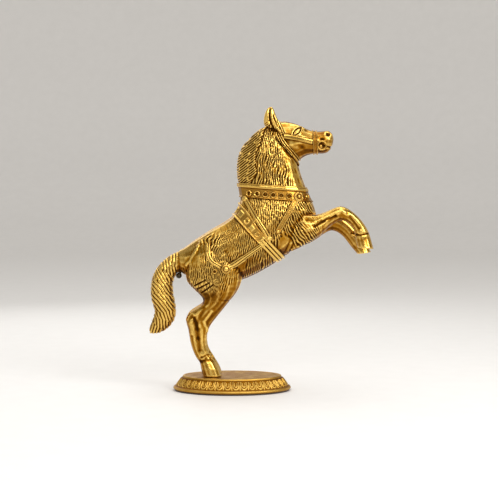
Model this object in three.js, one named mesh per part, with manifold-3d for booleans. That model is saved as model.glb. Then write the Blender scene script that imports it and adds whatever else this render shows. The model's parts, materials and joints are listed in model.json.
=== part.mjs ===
// Rearing horse statuette on an oval plinth, in cast metal with an antique gold finish.
// The horse is a hollow casting in a right and a left shell, with solid legs and tail pegged and brazed
// on, harness bands laid over it, and two screws that come up through the plinth into the hind hooves.
// Millimetres. +X is the way the horse faces, +Y its left, +Z up. The origin is the middle of the
// plinth's underside.
import * as THREE from "three";
import { mergeVertices } from "three/addons/utils/BufferGeometryUtils.js";
import Module from "manifold-3d";

const wasm = await Module();
wasm.setup();

// ---- driving dimensions ----
const plinthLength = 124;
const plinthDepth = 86;
const plinthHeight = 14.4;
const plinthWall = 3.2;
const plinthTopPlate = 4;
const plinthFlare = 10.5; // how much further the foot of the plinth stands out than its top
const feltThickness = 1.2;
const feltInset = 1.5;

const horseHeight = 282; // soles to ear tips
const shellWall = 3.6;
const seamGap = 0.3; // braze line between two castings
const pegClearance = 0.3;
const pegRadius = 4.2;
const pegLength = 7;

const bandThickness = 1.3;
const bandGap = 0.3; // solder line under a harness band
const girthWidth = 11;
const collarWidth = 14.5;
const strapWidth = 5.4;
const traceWidth = 5.6;
const hipStrapWidth = 4;
const bridleWidth = 4.6;
const throatLatchWidth = 4.8;
const nosebandWidth = 5;
const beadRadius = 3.3;
const beadSpacing = 8.2;
const bossRadius = 5.6;
const rosetteRadius = 5;
const bitRingRadius = 4.4;
const bitRingWire = 1.1;

const screwRadius = 2;
const screwReach = 9; // how far a plinth screw goes into its hoof
const screwHeadRadius = 4;
const screwHeadHeight = 2.4;
const washerRadius = 5.5;
const washerThickness = 0.8;
const holeClearance = 0.3;
const tailScrewRadius = 1.5;
const tailScrewHeadRadius = 3.2;

const trunkSides = 16;
const headSides = 14;
const limbSides = 12;
const rodSides = 12;
const plinthSides = 36;

// ---- materials ----
const metal = (name, color, roughness) =>
  new THREE.MeshStandardMaterial({ name, color, roughness, metalness: 1 });
const antiqueGold = metal("antique_gold", 0xc8962e, 0.34);
const harnessGold = metal("harness_gold", 0xdaa93c, 0.28);
const plinthGold = metal("plinth_gold", 0xbd9044, 0.45);
const steel = metal("zinc_steel", 0xa9abad, 0.4);
const felt = new THREE.MeshStandardMaterial({ name: "felt", color: 0x2b2620, roughness: 0.95, metalness: 0 });

// ---- from three.js geometry to solids and back ----
const solid = (geometry) => {
  const bare = new THREE.BufferGeometry().setAttribute("position", geometry.getAttribute("position"));
  bare.setIndex(geometry.index);
  const merged = mergeVertices(bare, 1e-4);
  const vertProperties = merged.attributes.position.array;
  const made = (triVerts) => new wasm.Manifold(new wasm.Mesh({ numProp: 3, vertProperties, triVerts }));
  const triVerts = new Uint32Array(merged.index.array);
  const first = made(triVerts);
  return first.volume() > 0 ? first : made(triVerts.toReversed());
};

const placed = (geometry, position, rotation = [0, 0, 0]) => {
  const turn = new THREE.Quaternion().setFromEuler(new THREE.Euler(...rotation, "ZYX"));
  const at = new THREE.Matrix4().compose(new THREE.Vector3(...position), turn, new THREE.Vector3(1, 1, 1));
  return solid(geometry.clone().applyMatrix4(at));
};

const piece = (name, shape, material) => {
  const { vertProperties, triVerts } = shape.getMesh();
  const geometry = new THREE.BufferGeometry()
    .setAttribute("position", new THREE.BufferAttribute(vertProperties, 3))
    .setIndex(new THREE.BufferAttribute(triVerts, 1));
  geometry.computeVertexNormals();
  const mesh = new THREE.Mesh(geometry, material);
  mesh.name = name;
  return mesh;
};

// A closed skin over a row of rings that all have the same number of points.
const skin = (rings) => {
  const sides = rings[0].length;
  const middle = (ring) => ring.reduce((sum, p) => sum.add(p), new THREE.Vector3()).divideScalar(sides);
  const points = [...rings.flat(), middle(rings[0]), middle(rings.at(-1))];
  const index = [];
  for (let i = 0; i < sides; i++) {
    const j = (i + 1) % sides;
    for (let r = 0; r + 1 < rings.length; r++) {
      const [a, b, c, d] = [r * sides + i, r * sides + j, (r + 1) * sides + i, (r + 1) * sides + j];
      index.push(a, b, d, a, d, c);
    }
    const last = (rings.length - 1) * sides;
    index.push(rings.length * sides, j, i, rings.length * sides + 1, last + i, last + j);
  }
  return solid(new THREE.BufferGeometry().setFromPoints(points).setIndex(index));
};

// ---- ribs ----
// A rib is one cross-section of a casting: an oval between two points of the side view, with a half
// width across the horse, and y, how far its middle stands to the side.
const DRAWN_HEIGHT = 282; // the height at which the ribs below are drawn
const scale = horseHeight / DRAWN_HEIGHT;
const rib = (x1, z1, x2, z2, half, y = 0) => ({
  a: new THREE.Vector3(x1, 0, z1).multiplyScalar(scale),
  b: new THREE.Vector3(x2, 0, z2).multiplyScalar(scale),
  half: half * scale,
  y: y * scale,
});

const ringOf = ({ a, b, half, y }, side, grow, sides) => {
  const centre = a.clone().add(b).multiplyScalar(0.5);
  const reach = a.clone().sub(centre);
  reach.setLength(reach.length() + grow);
  return Array.from({ length: sides }, (_, i) => {
    const angle = (2 * Math.PI * i) / sides;
    const point = centre.clone().addScaledVector(reach, Math.cos(angle));
    point.y = side * y + (half + grow) * Math.sin(angle);
    return point;
  });
};

// A casting lofted through its ribs, with `between` rings from each rib to the next.
const loft = (ribs, { side = 1, grow = 0, sides = limbSides, between = 2 } = {}) => {
  const track = (pick) => new THREE.CatmullRomCurve3(ribs.map(pick), false, "centripetal");
  const a = track((r) => r.a);
  const b = track((r) => r.b);
  const sizes = track((r) => new THREE.Vector3(r.half, r.y, 0));
  const count = (ribs.length - 1) * between;
  const rings = Array.from({ length: count + 1 }, (_, i) => {
    const t = i / count;
    const size = sizes.getPoint(t);
    return ringOf({ a: a.getPoint(t), b: b.getPoint(t), half: size.x, y: size.y }, side, grow, sides);
  });
  return skin(rings);
};

// The trunk runs from the dock over the loin, round the breast and up the neck.
const girthRib = rib(4, 173, 51.2, 122, 25.3);
const collarRib = rib(7.4, 195, 80.7, 189.5, 19.3);
const trunkRibs = [
  rib(-55.3, 131.4, -55.3, 109.5, 8.8),
  rib(-50, 134.3, -45.5, 103, 14.5),
  rib(-38, 143.2, -28, 97, 20.5),
  rib(-20, 154.6, -6, 96.5, 23.5),
  rib(-8, 161.4, 15, 101.8, 24.5),
  rib(-0.5, 167, 34.3, 111.4, 25),
  girthRib,
  rib(7.2, 179.5, 69.5, 136, 24.8),
  rib(8.2, 184, 83, 153.5, 23.5),
  rib(8.4, 188, 88.3, 170.5, 21.5),
  collarRib,
  rib(5.6, 206, 75.8, 201.5, 18),
  rib(4.6, 220, 71.8, 212.5, 17.2),
  rib(7.8, 235.5, 69.6, 221, 16.2),
  rib(17, 247.8, 68, 225.5, 15),
  rib(28, 257.6, 65, 230, 13.5),
  rib(37, 263, 60, 236, 10),
];
const HOLLOW_FROM = 2; // the trunk ribs between which the shells are hollow
const HOLLOW_TO = 14;

const throatRib = rib(42, 265.2, 69.2, 225.5, 13.5);
const nosebandRib = rib(86, 256.2, 87.5, 232.8, 10.8);
const headRibs = [
  rib(35, 261, 58, 230, 11),
  throatRib,
  rib(56, 266.4, 75, 229, 14.2),
  rib(68, 263.4, 79, 231, 13.8),
  rib(78, 258.8, 83, 232, 12.2),
  nosebandRib,
  rib(94, 256.2, 94, 232.8, 10.2),
  rib(101, 256.6, 99.8, 233.8, 9.8),
  rib(105.2, 253, 103.2, 237, 7.6),
  rib(106.3, 248, 105.2, 242, 3.6),
];

const earRibs = [
  rib(55, 254, 44, 257, 3.6, 8.6),
  rib(50.6, 263, 33.8, 262, 4.6, 9.2),
  rib(46, 272, 33.8, 272.5, 4, 10),
  rib(43.8, 278, 36.4, 278.6, 2.8, 10.4),
  rib(41.8, 281.4, 39, 281.4, 1.1, 10.6),
];

// The hind limb from hip to sole, front point first.
const hindRibs = [
  rib(-16, 152, -36, 141, 6, 8),
  rib(0, 138, -45, 124, 11.5, 10.5),
  rib(9, 120, -48, 110, 14, 11.6),
  rib(11, 106.5, -46.6, 99, 14, 12.4),
  rib(8.6, 95.5, -38.4, 90, 12.4, 12.8),
  rib(3.3, 86, -30.7, 82, 10.6, 12.6),
  rib(-2.8, 78.5, -30.6, 76.5, 9, 12.6),
  rib(-9, 70.6, -36, 72.4, 7.8, 12.4),
  rib(-15.6, 62.4, -44.4, 67, 7, 12.2),
  rib(-22, 54, -48.3, 60, 6.4, 12),
  rib(-25.5, 46, -45.8, 50, 5.8, 12),
  rib(-26.6, 36, -43.8, 37, 5.3, 11.8),
  rib(-25, 27.5, -41, 27.5, 5.3, 11.6),
  rib(-20.8, 20.5, -37.4, 19.5, 5.9, 11.4),
  rib(-17.8, 15.5, -33.8, 14.5, 6.2, 11.2),
  rib(-13.4, 8, -32.4, 8, 8, 11.2),
  rib(-10.6, 0, -30.4, 0, 9, 11.2),
];

// Each forelimb from shoulder to sole, upper point first. The right one is lifted a little higher.
const shoulderRibs = [rib(58, 168, 56, 128, 8, 8), rib(75, 170.5, 70, 134, 12, 11.5)];
const rightForeRibs = [
  ...shoulderRibs,
  rib(88, 169.4, 84, 142, 11, 13),
  rib(97, 172, 92, 147.5, 9, 13),
  rib(105.5, 175.8, 101, 156, 7.6, 12.8),
  rib(113.4, 178, 111.5, 162.6, 6.8, 12.6),
  rib(121.5, 175.2, 118.6, 162, 6, 12.4),
  rib(131.6, 167, 124.6, 157.4, 5.4, 12.2),
  rib(138, 159.2, 127.8, 150.2, 5.2, 12),
  rib(142.2, 151.8, 128.6, 146, 6, 12),
  rib(144.4, 145.6, 129.4, 141, 6, 12),
  rib(147.8, 133.4, 131, 135, 8, 12),
];
const leftForeRibs = [
  ...shoulderRibs,
  rib(86, 168, 82, 138, 11, 13),
  rib(93, 169.5, 89.5, 142.5, 9, 13),
  rib(99.5, 171.5, 97, 148, 7.6, 12.8),
  rib(107.5, 171, 105, 151.8, 6.8, 12.6),
  rib(116.5, 168, 111.5, 150, 6, 12.4),
  rib(127, 159.5, 117.6, 145.4, 5.4, 12.2),
  rib(133.6, 151.8, 122.2, 139.8, 5.2, 12),
  rib(139, 145, 125.6, 135.2, 6, 12),
  rib(142.8, 139, 128.4, 132, 6, 12),
  rib(147.2, 129, 132.6, 127, 8, 12),
];

const tailRibs = [
  rib(-55, 131.5, -55, 109.5, 8.6),
  rib(-66, 126, -58.5, 105.5, 9),
  rib(-76.5, 117, -61, 100.5, 9.4),
  rib(-83.6, 105, -62, 94.5, 9.8),
  rib(-86, 89.5, -61.5, 86, 10),
  rib(-84.6, 77, -59.6, 76.5, 9.8),
  rib(-82, 68.5, -58.8, 66, 9),
  rib(-83.6, 60, -61, 57, 7.8),
  rib(-86.5, 52, -67, 49.4, 6),
  rib(-87.6, 47, -76.5, 44, 3.8),
  rib(-87, 44, -83.6, 43.2, 1.2),
];

// ---- cutting helpers ----
const FAR = 600; // larger than anything here
const everythingPast = (x, z, lean) =>
  placed(new THREE.BoxGeometry(FAR, FAR, FAR).translate(FAR / 2, 0, 0), [x, 0, z], [0, lean, 0]);
const sideOnly = (side, from) =>
  placed(new THREE.BoxGeometry(FAR, FAR, FAR), [0, side * (FAR / 2 + from), 0]);
const rod = (radius, from, to) => {
  const [p, q] = [new THREE.Vector3(...from), new THREE.Vector3(...to)];
  const along = q.clone().sub(p);
  const geometry = new THREE.CylinderGeometry(radius, radius, along.length(), rodSides);
  geometry.applyQuaternion(new THREE.Quaternion().setFromUnitVectors(new THREE.Vector3(0, 1, 0), along.normalize()));
  return placed(geometry, p.add(q).multiplyScalar(0.5).toArray());
};

// ---- joints between the castings ----
// A joint is a flat face across a limb, where its peg goes back into the shell. `lean` turns the face's
// normal from +X about Y, so that a positive lean points it down.
const joint = (x, z, lean, y) => ({ x: x * scale, z: z * scale, y: y * scale, lean });
const hindJoint = joint(-15, 81, THREE.MathUtils.degToRad(94), 12.6);
const foreJoint = joint(93, 159, THREE.MathUtils.degToRad(-8), 13);
const tailJoint = joint(-55.5, 120.5, Math.PI, 0);

const past = ({ x, z, lean }, gap) =>
  everythingPast(x + Math.cos(lean) * gap, z - Math.sin(lean) * gap, lean);
const peg = ({ x, z, y, lean }, side, extra) => {
  const [nx, nz] = [Math.cos(lean), -Math.sin(lean)];
  const back = pegLength + extra;
  const root = 2; // how far the peg starts inside its own limb
  return rod(
    pegRadius + extra,
    [x + nx * root, side * y, z + nz * root],
    [x - nx * back, side * y, z - nz * back],
  );
};

// ---- the horse's castings ----
const foreRibs = { 1: leftForeRibs, [-1]: rightForeRibs };
const sides = { left: 1, right: -1 };

// The outer form of the body without legs or tail, grown outwards by `grow`.
const bodyForm = (grow) => {
  let form = loft(trunkRibs, { grow, sides: trunkSides }).add(loft(headRibs, { grow, sides: headSides }));
  for (const side of Object.values(sides)) {
    const haunch = loft(hindRibs.slice(0, 7), { side, grow }).subtract(past(hindJoint, -seamGap));
    const shoulder = loft(foreRibs[side].slice(0, 5), { side, grow }).subtract(past(foreJoint, -seamGap));
    form = form.add(haunch).add(shoulder);
  }
  return form;
};
const body = bodyForm(0);

const ear = (side, grow = 0) => loft(earRibs, { side, grow, sides: 10 });
const core = loft(trunkRibs.slice(HOLLOW_FROM, HOLLOW_TO), { grow: -shellWall, sides: 14, between: 1 });

// The tail is held by one screw whose round head sits in the corner under the tail.
const tailScrewFrom = [-55.9 * scale, 0, 104.8 * scale];
const tailScrewTo = [-50.6 * scale, 0, tailJoint.z];
const tailScrewRod = (extra) => rod(tailScrewRadius + extra, tailScrewFrom, tailScrewTo);
const tailScrewHead = (extra) =>
  placed(new THREE.SphereGeometry(tailScrewHeadRadius + extra, 10, 7), tailScrewFrom);

const shell = (side) => {
  const outer = body.add(ear(side)).subtract(core).intersect(sideOnly(side, seamGap / 2));
  return outer
    .subtract(peg(hindJoint, side, pegClearance))
    .subtract(peg(foreJoint, side, pegClearance))
    .subtract(peg(tailJoint, 1, pegClearance))
    .subtract(tailScrewRod(holeClearance))
    .subtract(tailScrewHead(holeClearance));
};

const hoofX = -20.5 * scale;
const hoofY = 11.2 * scale;
const hindLeg = (side) => {
  const leg = loft(hindRibs, { side }).intersect(past(hindJoint, 0));
  const thread = rod(screwRadius + holeClearance, [hoofX, side * hoofY, -1], [hoofX, side * hoofY, screwReach + 1]);
  return leg.add(peg(hindJoint, side, 0)).subtract(thread);
};
const foreLeg = (side) =>
  loft(foreRibs[side], { side })
    .intersect(past(foreJoint, 0))
    .subtract(loft(trunkRibs, { grow: bandGap, sides: trunkSides }))
    .add(peg(foreJoint, side, 0));

const tail = () =>
  loft(tailRibs, { sides: 14 })
    .intersect(past(tailJoint, 0))
    .add(peg(tailJoint, 1, 0))
    .subtract(tailScrewRod(holeClearance))
    .subtract(tailScrewHead(holeClearance));
const tailScrew = () => tailScrewHead(0).add(tailScrewRod(0));

// ---- the harness ----
// Every band is cut out of one thin layer that lies over the body.
const innerForm = bodyForm(bandGap);
const outerForm = bodyForm(bandGap + bandThickness);

// Cuts between faceted skins can leave specks with no volume, which this takes away.
const SPECK = 0.05;
const withoutSpecks = (shape) =>
  wasm.Manifold.union(shape.decompose().filter((part) => Math.abs(part.volume()) > SPECK));
const band = (region, ...neighbours) =>
  withoutSpecks(
    neighbours.reduce((shape, near) => shape.subtract(near), outerForm.intersect(region).subtract(innerForm)),
  );

// The plane of a rib, as a slab of the given width right round the body.
const slab = ({ a, b }, width) => {
  const middle = a.clone().add(b).multiplyScalar(0.5);
  const along = b.clone().sub(a);
  const length = along.length() + 40;
  return placed(
    new THREE.BoxGeometry(length, FAR, width),
    [middle.x, 0, middle.z],
    [0, -Math.atan2(along.z, along.x), 0],
  );
};

// A strip on one side of the body, along a smooth line through points of the side view.
const strip = (places, width, side) => {
  const line = new THREE.SplineCurve(places.map(([x, z]) => new THREE.Vector2(x, z).multiplyScalar(scale)));
  const steps = places.length === 2 ? 1 : 8;
  const edge = (offset) =>
    Array.from({ length: steps + 1 }, (_, i) => {
      const tangent = line.getTangent(i / steps);
      return line.getPoint(i / steps).add(new THREE.Vector2(-tangent.y, tangent.x).multiplyScalar(offset));
    });
  const outline = new THREE.Shape([...edge(width / 2), ...edge(-width / 2).reverse()]);
  const reach = 60;
  const inner = 4; // how far the strip's inner end stays from the plane of symmetry
  const block = new THREE.ExtrudeGeometry(outline, { depth: reach, bevelEnabled: false }).rotateX(Math.PI / 2);
  return placed(block, [0, side > 0 ? reach + inner : -inner, 0]);
};

// Where the side of the body stands at a point of the side view.
const flankAt = (x, z, side) => {
  const { min, max } = body.intersect(placed(new THREE.BoxGeometry(0.6, FAR, 0.6), [x, 0, z])).boundingBox();
  return side > 0 ? max[1] : min[1];
};

const dome = (radius, height) => {
  const arc = new THREE.EllipseCurve(0, 0, radius, height, 0, Math.PI / 2).getPoints(4);
  const profile = [new THREE.Vector2(0, -height), new THREE.Vector2(radius, -height), ...arc];
  profile[profile.length - 1].x = 0;
  return new THREE.LatheGeometry(profile, 14);
};
// A domed stud that sits on the side of the body, at a point of the side view.
const stud = ([x, z], radius, side) => {
  const [sx, sz] = [x * scale, z * scale];
  const y = flankAt(sx, sz, side) + side * (bandGap + bandThickness);
  const out = side > 0 ? 0 : Math.PI;
  return placed(dome(radius, radius * 0.55), [sx, y, sz], [out, 0, 0]).subtract(innerForm);
};

const inCollar = (grow) => slab(collarRib, collarWidth + 2 * grow);
const inGirth = (grow) => slab(girthRib, girthWidth + 2 * grow);

const bossPlace = [69, 187.6];
const rosettePlace = [-6.5, 112.5];
const boss = (side) => stud(bossPlace, bossRadius, side);
const rosette = (side) => stud(rosettePlace, rosetteRadius, side);
// The round opening that a band leaves for a stud.
const studHole = ([x, z], radius, side) => {
  const [sx, sz] = [x * scale, z * scale];
  return rod(radius + 2 * bandGap, [sx, 0, sz], [sx, side * 60, sz]);
};
const bossHole = (side) => studHole(bossPlace, bossRadius, side);
const rosetteHole = (side) => studHole(rosettePlace, rosetteRadius, side);

// The beads stand in a row below the middle of the collar, but not over the crest or the breast.
const beads = () => {
  const drop = new THREE.Vector3(0, 0, -collarWidth * 0.19);
  const low = { ...collarRib, a: collarRib.a.clone().add(drop), b: collarRib.b.clone().add(drop) };
  const ring = new THREE.CatmullRomCurve3(ringOf(low, 1, bandGap + bandThickness - 0.6, 40), true);
  const count = Math.round(ring.getLength() / beadSpacing);
  const bead = new THREE.SphereGeometry(beadRadius, 6, 4);
  const ends = collarRib.half * 0.4;
  return ring
    .getSpacedPoints(count)
    .slice(0, count)
    .filter((p) => Math.abs(p.y) > ends)
    .map((p) => placed(bead, p.toArray()));
};
const collar = () => {
  const beaded = beads().reduce((sum, bead) => sum.add(bead), outerForm.intersect(inCollar(0)));
  return withoutSpecks(beaded.subtract(innerForm).subtract(bossHole(1)).subtract(bossHole(-1)));
};

const crossing = [38, 143];
const withersStrap = (side) =>
  band(strip([[15, 183], crossing], strapWidth, side), inCollar(bandGap), inGirth(bandGap));
const shoulderStrap = (side) =>
  band(strip([[66, 184], [44, 148]], strapWidth, side), inCollar(bandGap), inGirth(bandGap), bossHole(side));
const traceStrap = (side) =>
  band(strip([crossing, rosettePlace], traceWidth, side), inGirth(bandGap), rosetteHole(side));
const hipStrap = (side) =>
  band(strip([[-25, 138], [-25, 127], [-19, 118], rosettePlace], hipStrapWidth, side), rosetteHole(side));

const cheekStrap = (side) =>
  band(
    strip([[53, 252], [86, 245.5]], bridleWidth, side),
    slab(throatRib, throatLatchWidth + 2 * bandGap),
    slab(nosebandRib, nosebandWidth + 2 * bandGap),
  );

// The throat latch ends at the ears, since the forelock covers it between them.
const throatLatch = () =>
  band(slab(throatRib, throatLatchWidth), ear(1, bandGap), ear(-1, bandGap))
    .decompose()
    .reduce((largest, part) => (part.volume() > largest.volume() ? part : largest));
// The bit rings hang outside the noseband.
const bitRing = (side) => {
  const [x, z] = [93.5 * scale, 241 * scale];
  const besideNoseband = flankAt(x - bitRingRadius, z, side);
  const y = besideNoseband + side * (2 * bandGap + bandThickness + bitRingWire);
  return placed(new THREE.TorusGeometry(bitRingRadius, bitRingWire, 6, 14), [x, y, z], [Math.PI / 2, 0, 0]);
};

// ---- the plinth ----
const oval = (inset, z) =>
  new THREE.EllipseCurve(0, 0, plinthLength / 2 - inset, plinthDepth / 2 - inset)
    .getPoints(plinthSides)
    .slice(0, plinthSides)
    .map((p) => new THREE.Vector3(p.x, p.y, z));

const plinthBottom = feltThickness + bandGap;
const plinthTop = plinthBottom + plinthHeight;
const lipHeight = plinthHeight * 0.2;
const plinth = () => {
  const outer = skin([
    oval(0.8, plinthBottom),
    oval(0, plinthBottom + lipHeight * 0.3),
    oval(0, plinthBottom + lipHeight * 0.8),
    oval(1, plinthBottom + lipHeight),
    oval(2.2, plinthBottom + lipHeight * 1.1),
    oval(plinthFlare - 1.8, plinthTop - 2.6),
    oval(plinthFlare - 0.6, plinthTop - 2),
    oval(plinthFlare - 0.6, plinthTop - 0.5),
    oval(plinthFlare, plinthTop),
  ]);
  const ceiling = plinthTop - plinthTopPlate;
  const hollow = skin([
    oval(plinthWall + 1, plinthBottom - 1),
    oval(plinthWall + 1, plinthBottom + lipHeight),
    oval(plinthFlare + plinthWall, ceiling),
  ]);
  return Object.values(sides).reduce(
    (shape, side) =>
      shape.subtract(
        rod(screwRadius + holeClearance, [hoofX, side * hoofY, ceiling - 1], [hoofX, side * hoofY, plinthTop + 1]),
      ),
    outer.subtract(hollow),
  );
};
const feltPad = () => skin([oval(feltInset, 0), oval(feltInset, feltThickness)]);

const plateUnderside = plinthTop - plinthTopPlate;
const hoofScrew = (side) => {
  const [x, y] = [hoofX, side * hoofY];
  const top = plateUnderside - washerThickness - 2 * bandGap;
  const head = rod(screwHeadRadius, [x, y, top - screwHeadHeight], [x, y, top]);
  return head.add(rod(screwRadius, [x, y, top - 1], [x, y, plinthTop + screwReach]));
};
const hoofWasher = (side) => {
  const [x, y] = [hoofX, side * hoofY];
  const top = plateUnderside - bandGap;
  return rod(washerRadius, [x, y, top - washerThickness], [x, y, top]).subtract(
    rod(screwRadius + holeClearance, [x, y, top - 2], [x, y, top + 1]),
  );
};

// ---- assembly ----
const statuette = new THREE.Group();
const horse = new THREE.Group();
horse.position.z = plinthTop + seamGap;
statuette.add(horse);

statuette.add(piece("plinth", plinth(), plinthGold));
statuette.add(piece("felt_pad", feltPad(), felt));
horse.add(piece("tail", tail(), antiqueGold));
horse.add(piece("tail_screw", tailScrew(), steel));
horse.add(piece("breast_collar", collar(), harnessGold));
horse.add(piece("girth", band(inGirth(0)), harnessGold));
horse.add(piece("throat_latch", throatLatch(), harnessGold));
horse.add(piece("noseband", band(slab(nosebandRib, nosebandWidth)), harnessGold));
for (const [name, side] of Object.entries(sides)) {
  statuette.add(piece(`${name}_hoof_screw`, hoofScrew(side), steel));
  statuette.add(piece(`${name}_hoof_washer`, hoofWasher(side), steel));
  horse.add(piece(`${name}_body_shell`, shell(side), antiqueGold));
  horse.add(piece(`${name}_foreleg`, foreLeg(side), antiqueGold));
  horse.add(piece(`${name}_hind_leg`, hindLeg(side), antiqueGold));
  horse.add(piece(`${name}_collar_boss`, boss(side), harnessGold));
  horse.add(piece(`${name}_rosette`, rosette(side), harnessGold));
  horse.add(piece(`${name}_withers_strap`, withersStrap(side), harnessGold));
  horse.add(piece(`${name}_shoulder_strap`, shoulderStrap(side), harnessGold));
  horse.add(piece(`${name}_trace_strap`, traceStrap(side), harnessGold));
  horse.add(piece(`${name}_hip_strap`, hipStrap(side), harnessGold));
  horse.add(piece(`${name}_cheek_strap`, cheekStrap(side), harnessGold));
  horse.add(piece(`${name}_bit_ring`, bitRing(side), harnessGold));
}

export default statuette;
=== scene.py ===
"""Rearing horse statuette: an antique-gold casting with a raised harness, on an oval plinth.

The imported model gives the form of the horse, the plinth and their places. The lines of the straps and of the
chased detail are given here in millimetres over the side view: x towards the head, and h above `SOLE`, the
height of the hind hooves' soles.
"""

import functools
import itertools
import json
import math

import bmesh
import bpy
import numpy as np
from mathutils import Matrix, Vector
from mathutils.bvhtree import BVHTree


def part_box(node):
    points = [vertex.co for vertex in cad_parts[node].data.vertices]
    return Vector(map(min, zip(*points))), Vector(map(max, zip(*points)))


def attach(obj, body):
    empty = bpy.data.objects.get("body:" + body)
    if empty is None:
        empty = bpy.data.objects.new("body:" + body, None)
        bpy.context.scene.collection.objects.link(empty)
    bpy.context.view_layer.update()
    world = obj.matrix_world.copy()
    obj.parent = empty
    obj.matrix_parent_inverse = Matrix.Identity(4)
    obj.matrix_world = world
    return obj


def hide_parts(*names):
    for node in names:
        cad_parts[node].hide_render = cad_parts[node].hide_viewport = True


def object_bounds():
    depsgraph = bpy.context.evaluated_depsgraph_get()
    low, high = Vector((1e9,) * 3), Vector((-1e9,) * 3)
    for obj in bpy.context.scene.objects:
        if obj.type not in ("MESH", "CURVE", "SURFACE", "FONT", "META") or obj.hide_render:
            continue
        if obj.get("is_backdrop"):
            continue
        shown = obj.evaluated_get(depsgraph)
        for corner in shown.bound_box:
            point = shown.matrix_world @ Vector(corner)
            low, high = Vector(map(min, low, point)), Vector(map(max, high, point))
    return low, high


bl_info = {
    "name": "Rearing Horse Statuette",
    "version": (1, 0, 0),
    "blender": (4, 5, 0),
    "location": "3D View > Sidebar > Statuette",
    "description": "Builds the finished surfaces of a rearing horse statuette around its packed solids",
    "category": "Object",
}

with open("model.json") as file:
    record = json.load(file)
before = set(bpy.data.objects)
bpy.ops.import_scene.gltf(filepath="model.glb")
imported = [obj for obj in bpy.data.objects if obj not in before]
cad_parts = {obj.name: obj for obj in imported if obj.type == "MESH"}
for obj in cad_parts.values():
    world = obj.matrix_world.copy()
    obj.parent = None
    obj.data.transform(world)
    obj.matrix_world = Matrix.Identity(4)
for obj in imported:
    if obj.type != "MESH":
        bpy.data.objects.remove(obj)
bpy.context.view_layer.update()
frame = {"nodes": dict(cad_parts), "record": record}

MM = 0.001
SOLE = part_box("right_hind_leg")[0].z / MM
SIDES = {"left": 1, "right": -1}
BAND_SUNK = 0.4  # how far a band's back lies under the skin


# ---- numbers over many points ----
def smoothstep(low, high, value):
    """0 below low, 1 above high, and a smooth rise between them; high may be the smaller one."""
    t = np.clip((value - low) / (high - low), 0, 1)
    return t * t * (3 - 2 * t)


def bell(value, width):
    """1 where value is 0, falling to 0 within about twice the width."""
    return np.exp(-((value / width) ** 2))


def lattice_noise(x, y, z, seed):
    """Smooth noise from -1 to 1 with a grain of one unit."""
    lattice = np.random.default_rng(seed).random((32, 32, 32))
    cells, parts = [], []
    for value in np.broadcast_arrays(x, y, z):
        cell = np.floor(value)
        part = value - cell
        cells.append(cell.astype(int))
        parts.append(part * part * (3 - 2 * part))
    total = 0
    for corner in itertools.product((0, 1), repeat=3):
        weight = 1
        for part, step in zip(parts, corner):
            weight = weight * (part if step else 1 - part)
        index = tuple((cell + step) % 32 for cell, step in zip(cells, corner))
        total = total + weight * lattice[index]
    return 2 * total - 1


def scattered(index, seed):
    """A random number from 0 to 1 for each whole number."""
    return np.random.default_rng(seed).random(997)[np.floor(index).astype(int) % 997]


def distance_along(x, z, points):
    """For points of the side view: the distance to a broken line, and how far along it the nearest place is."""
    points = np.asarray(points, float)
    best = np.full(np.shape(x), 1e9)
    place = np.zeros(np.shape(x))
    walked = 0.0
    for start, end in zip(points, points[1:]):
        step = end - start
        length = math.hypot(*step)
        share = np.clip(((x - start[0]) * step[0] + (z - start[1]) * step[1]) / length**2, 0, 1)
        gap = np.hypot(x - start[0] - share * step[0], z - start[1] - share * step[1])
        nearer = gap < best
        best = np.where(nearer, gap, best)
        place = np.where(nearer, walked + share * length, place)
        walked += length
    return best, place


def stroke_cut(across, along, spacing, length, seed, gap=0.35):
    """Depth from 0 to 1 of rows of short cuts, each with its own start, as a graver leaves them."""
    row = across / spacing
    own = scattered(row, seed)
    place = along / (length * (0.75 + 0.5 * own)) + 7 * scattered(row, seed + 1)
    width = np.sin(np.pi * (row - np.floor(row)))
    middle = np.sin(np.pi * (place - np.floor(place)))
    return smoothstep(0.25, 0.95, width) * smoothstep(gap * 0.5, gap + 0.35, middle)


def hair_cut(across, along, spacing, length, seed, x, y, h):
    """Depth from 0 to 1 of long wavy cuts that part and meet, deepest in the middle of each lock."""
    wave = 0.34 * lattice_noise(x / 4.2, h / 6.5, y / 7, seed) + 0.16 * lattice_noise(x / 2.4, h / 3.6, y / 4, seed + 1)
    row = across / spacing + wave
    own = scattered(row, seed)
    place = along / (length * (0.7 + 0.6 * own)) + 7 * scattered(row, seed + 2)
    middle = np.sin(np.pi * (place - np.floor(place)))
    width = np.sin(np.pi * (row - np.floor(row)))
    return smoothstep(0.35, 0.98, width) * (0.3 + 0.7 * smoothstep(0.05, 0.75, middle))


# ---- meshes ----
def new_object(name, vertices, faces, attributes=None):
    """An object from vertices in millimetres, smooth shaded with sharp corners kept."""
    mesh = bpy.data.meshes.new(name)
    mesh.from_pydata((np.asarray(vertices, float) * MM).tolist(), [], [list(face) for face in faces])
    for key, values in (attributes or {}).items():
        mesh.attributes.new(key, "FLOAT", "POINT").data.foreach_set("value", np.asarray(values, np.float32))
    mesh.validate()
    mesh.update()
    mesh.shade_smooth()
    mesh.set_sharp_from_angle(angle=math.radians(55))
    piece = bpy.data.objects.new(name, mesh)
    bpy.context.scene.collection.objects.link(piece)
    return piece


def kept(piece, material, slot, *nodes):
    """Finishes a piece: its material, its place in the frame and the solids that it stands for."""
    piece.data.materials.clear()
    piece.data.materials.append(material)
    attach(piece, "root")
    if nodes:
        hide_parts(*nodes)
    return piece


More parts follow.
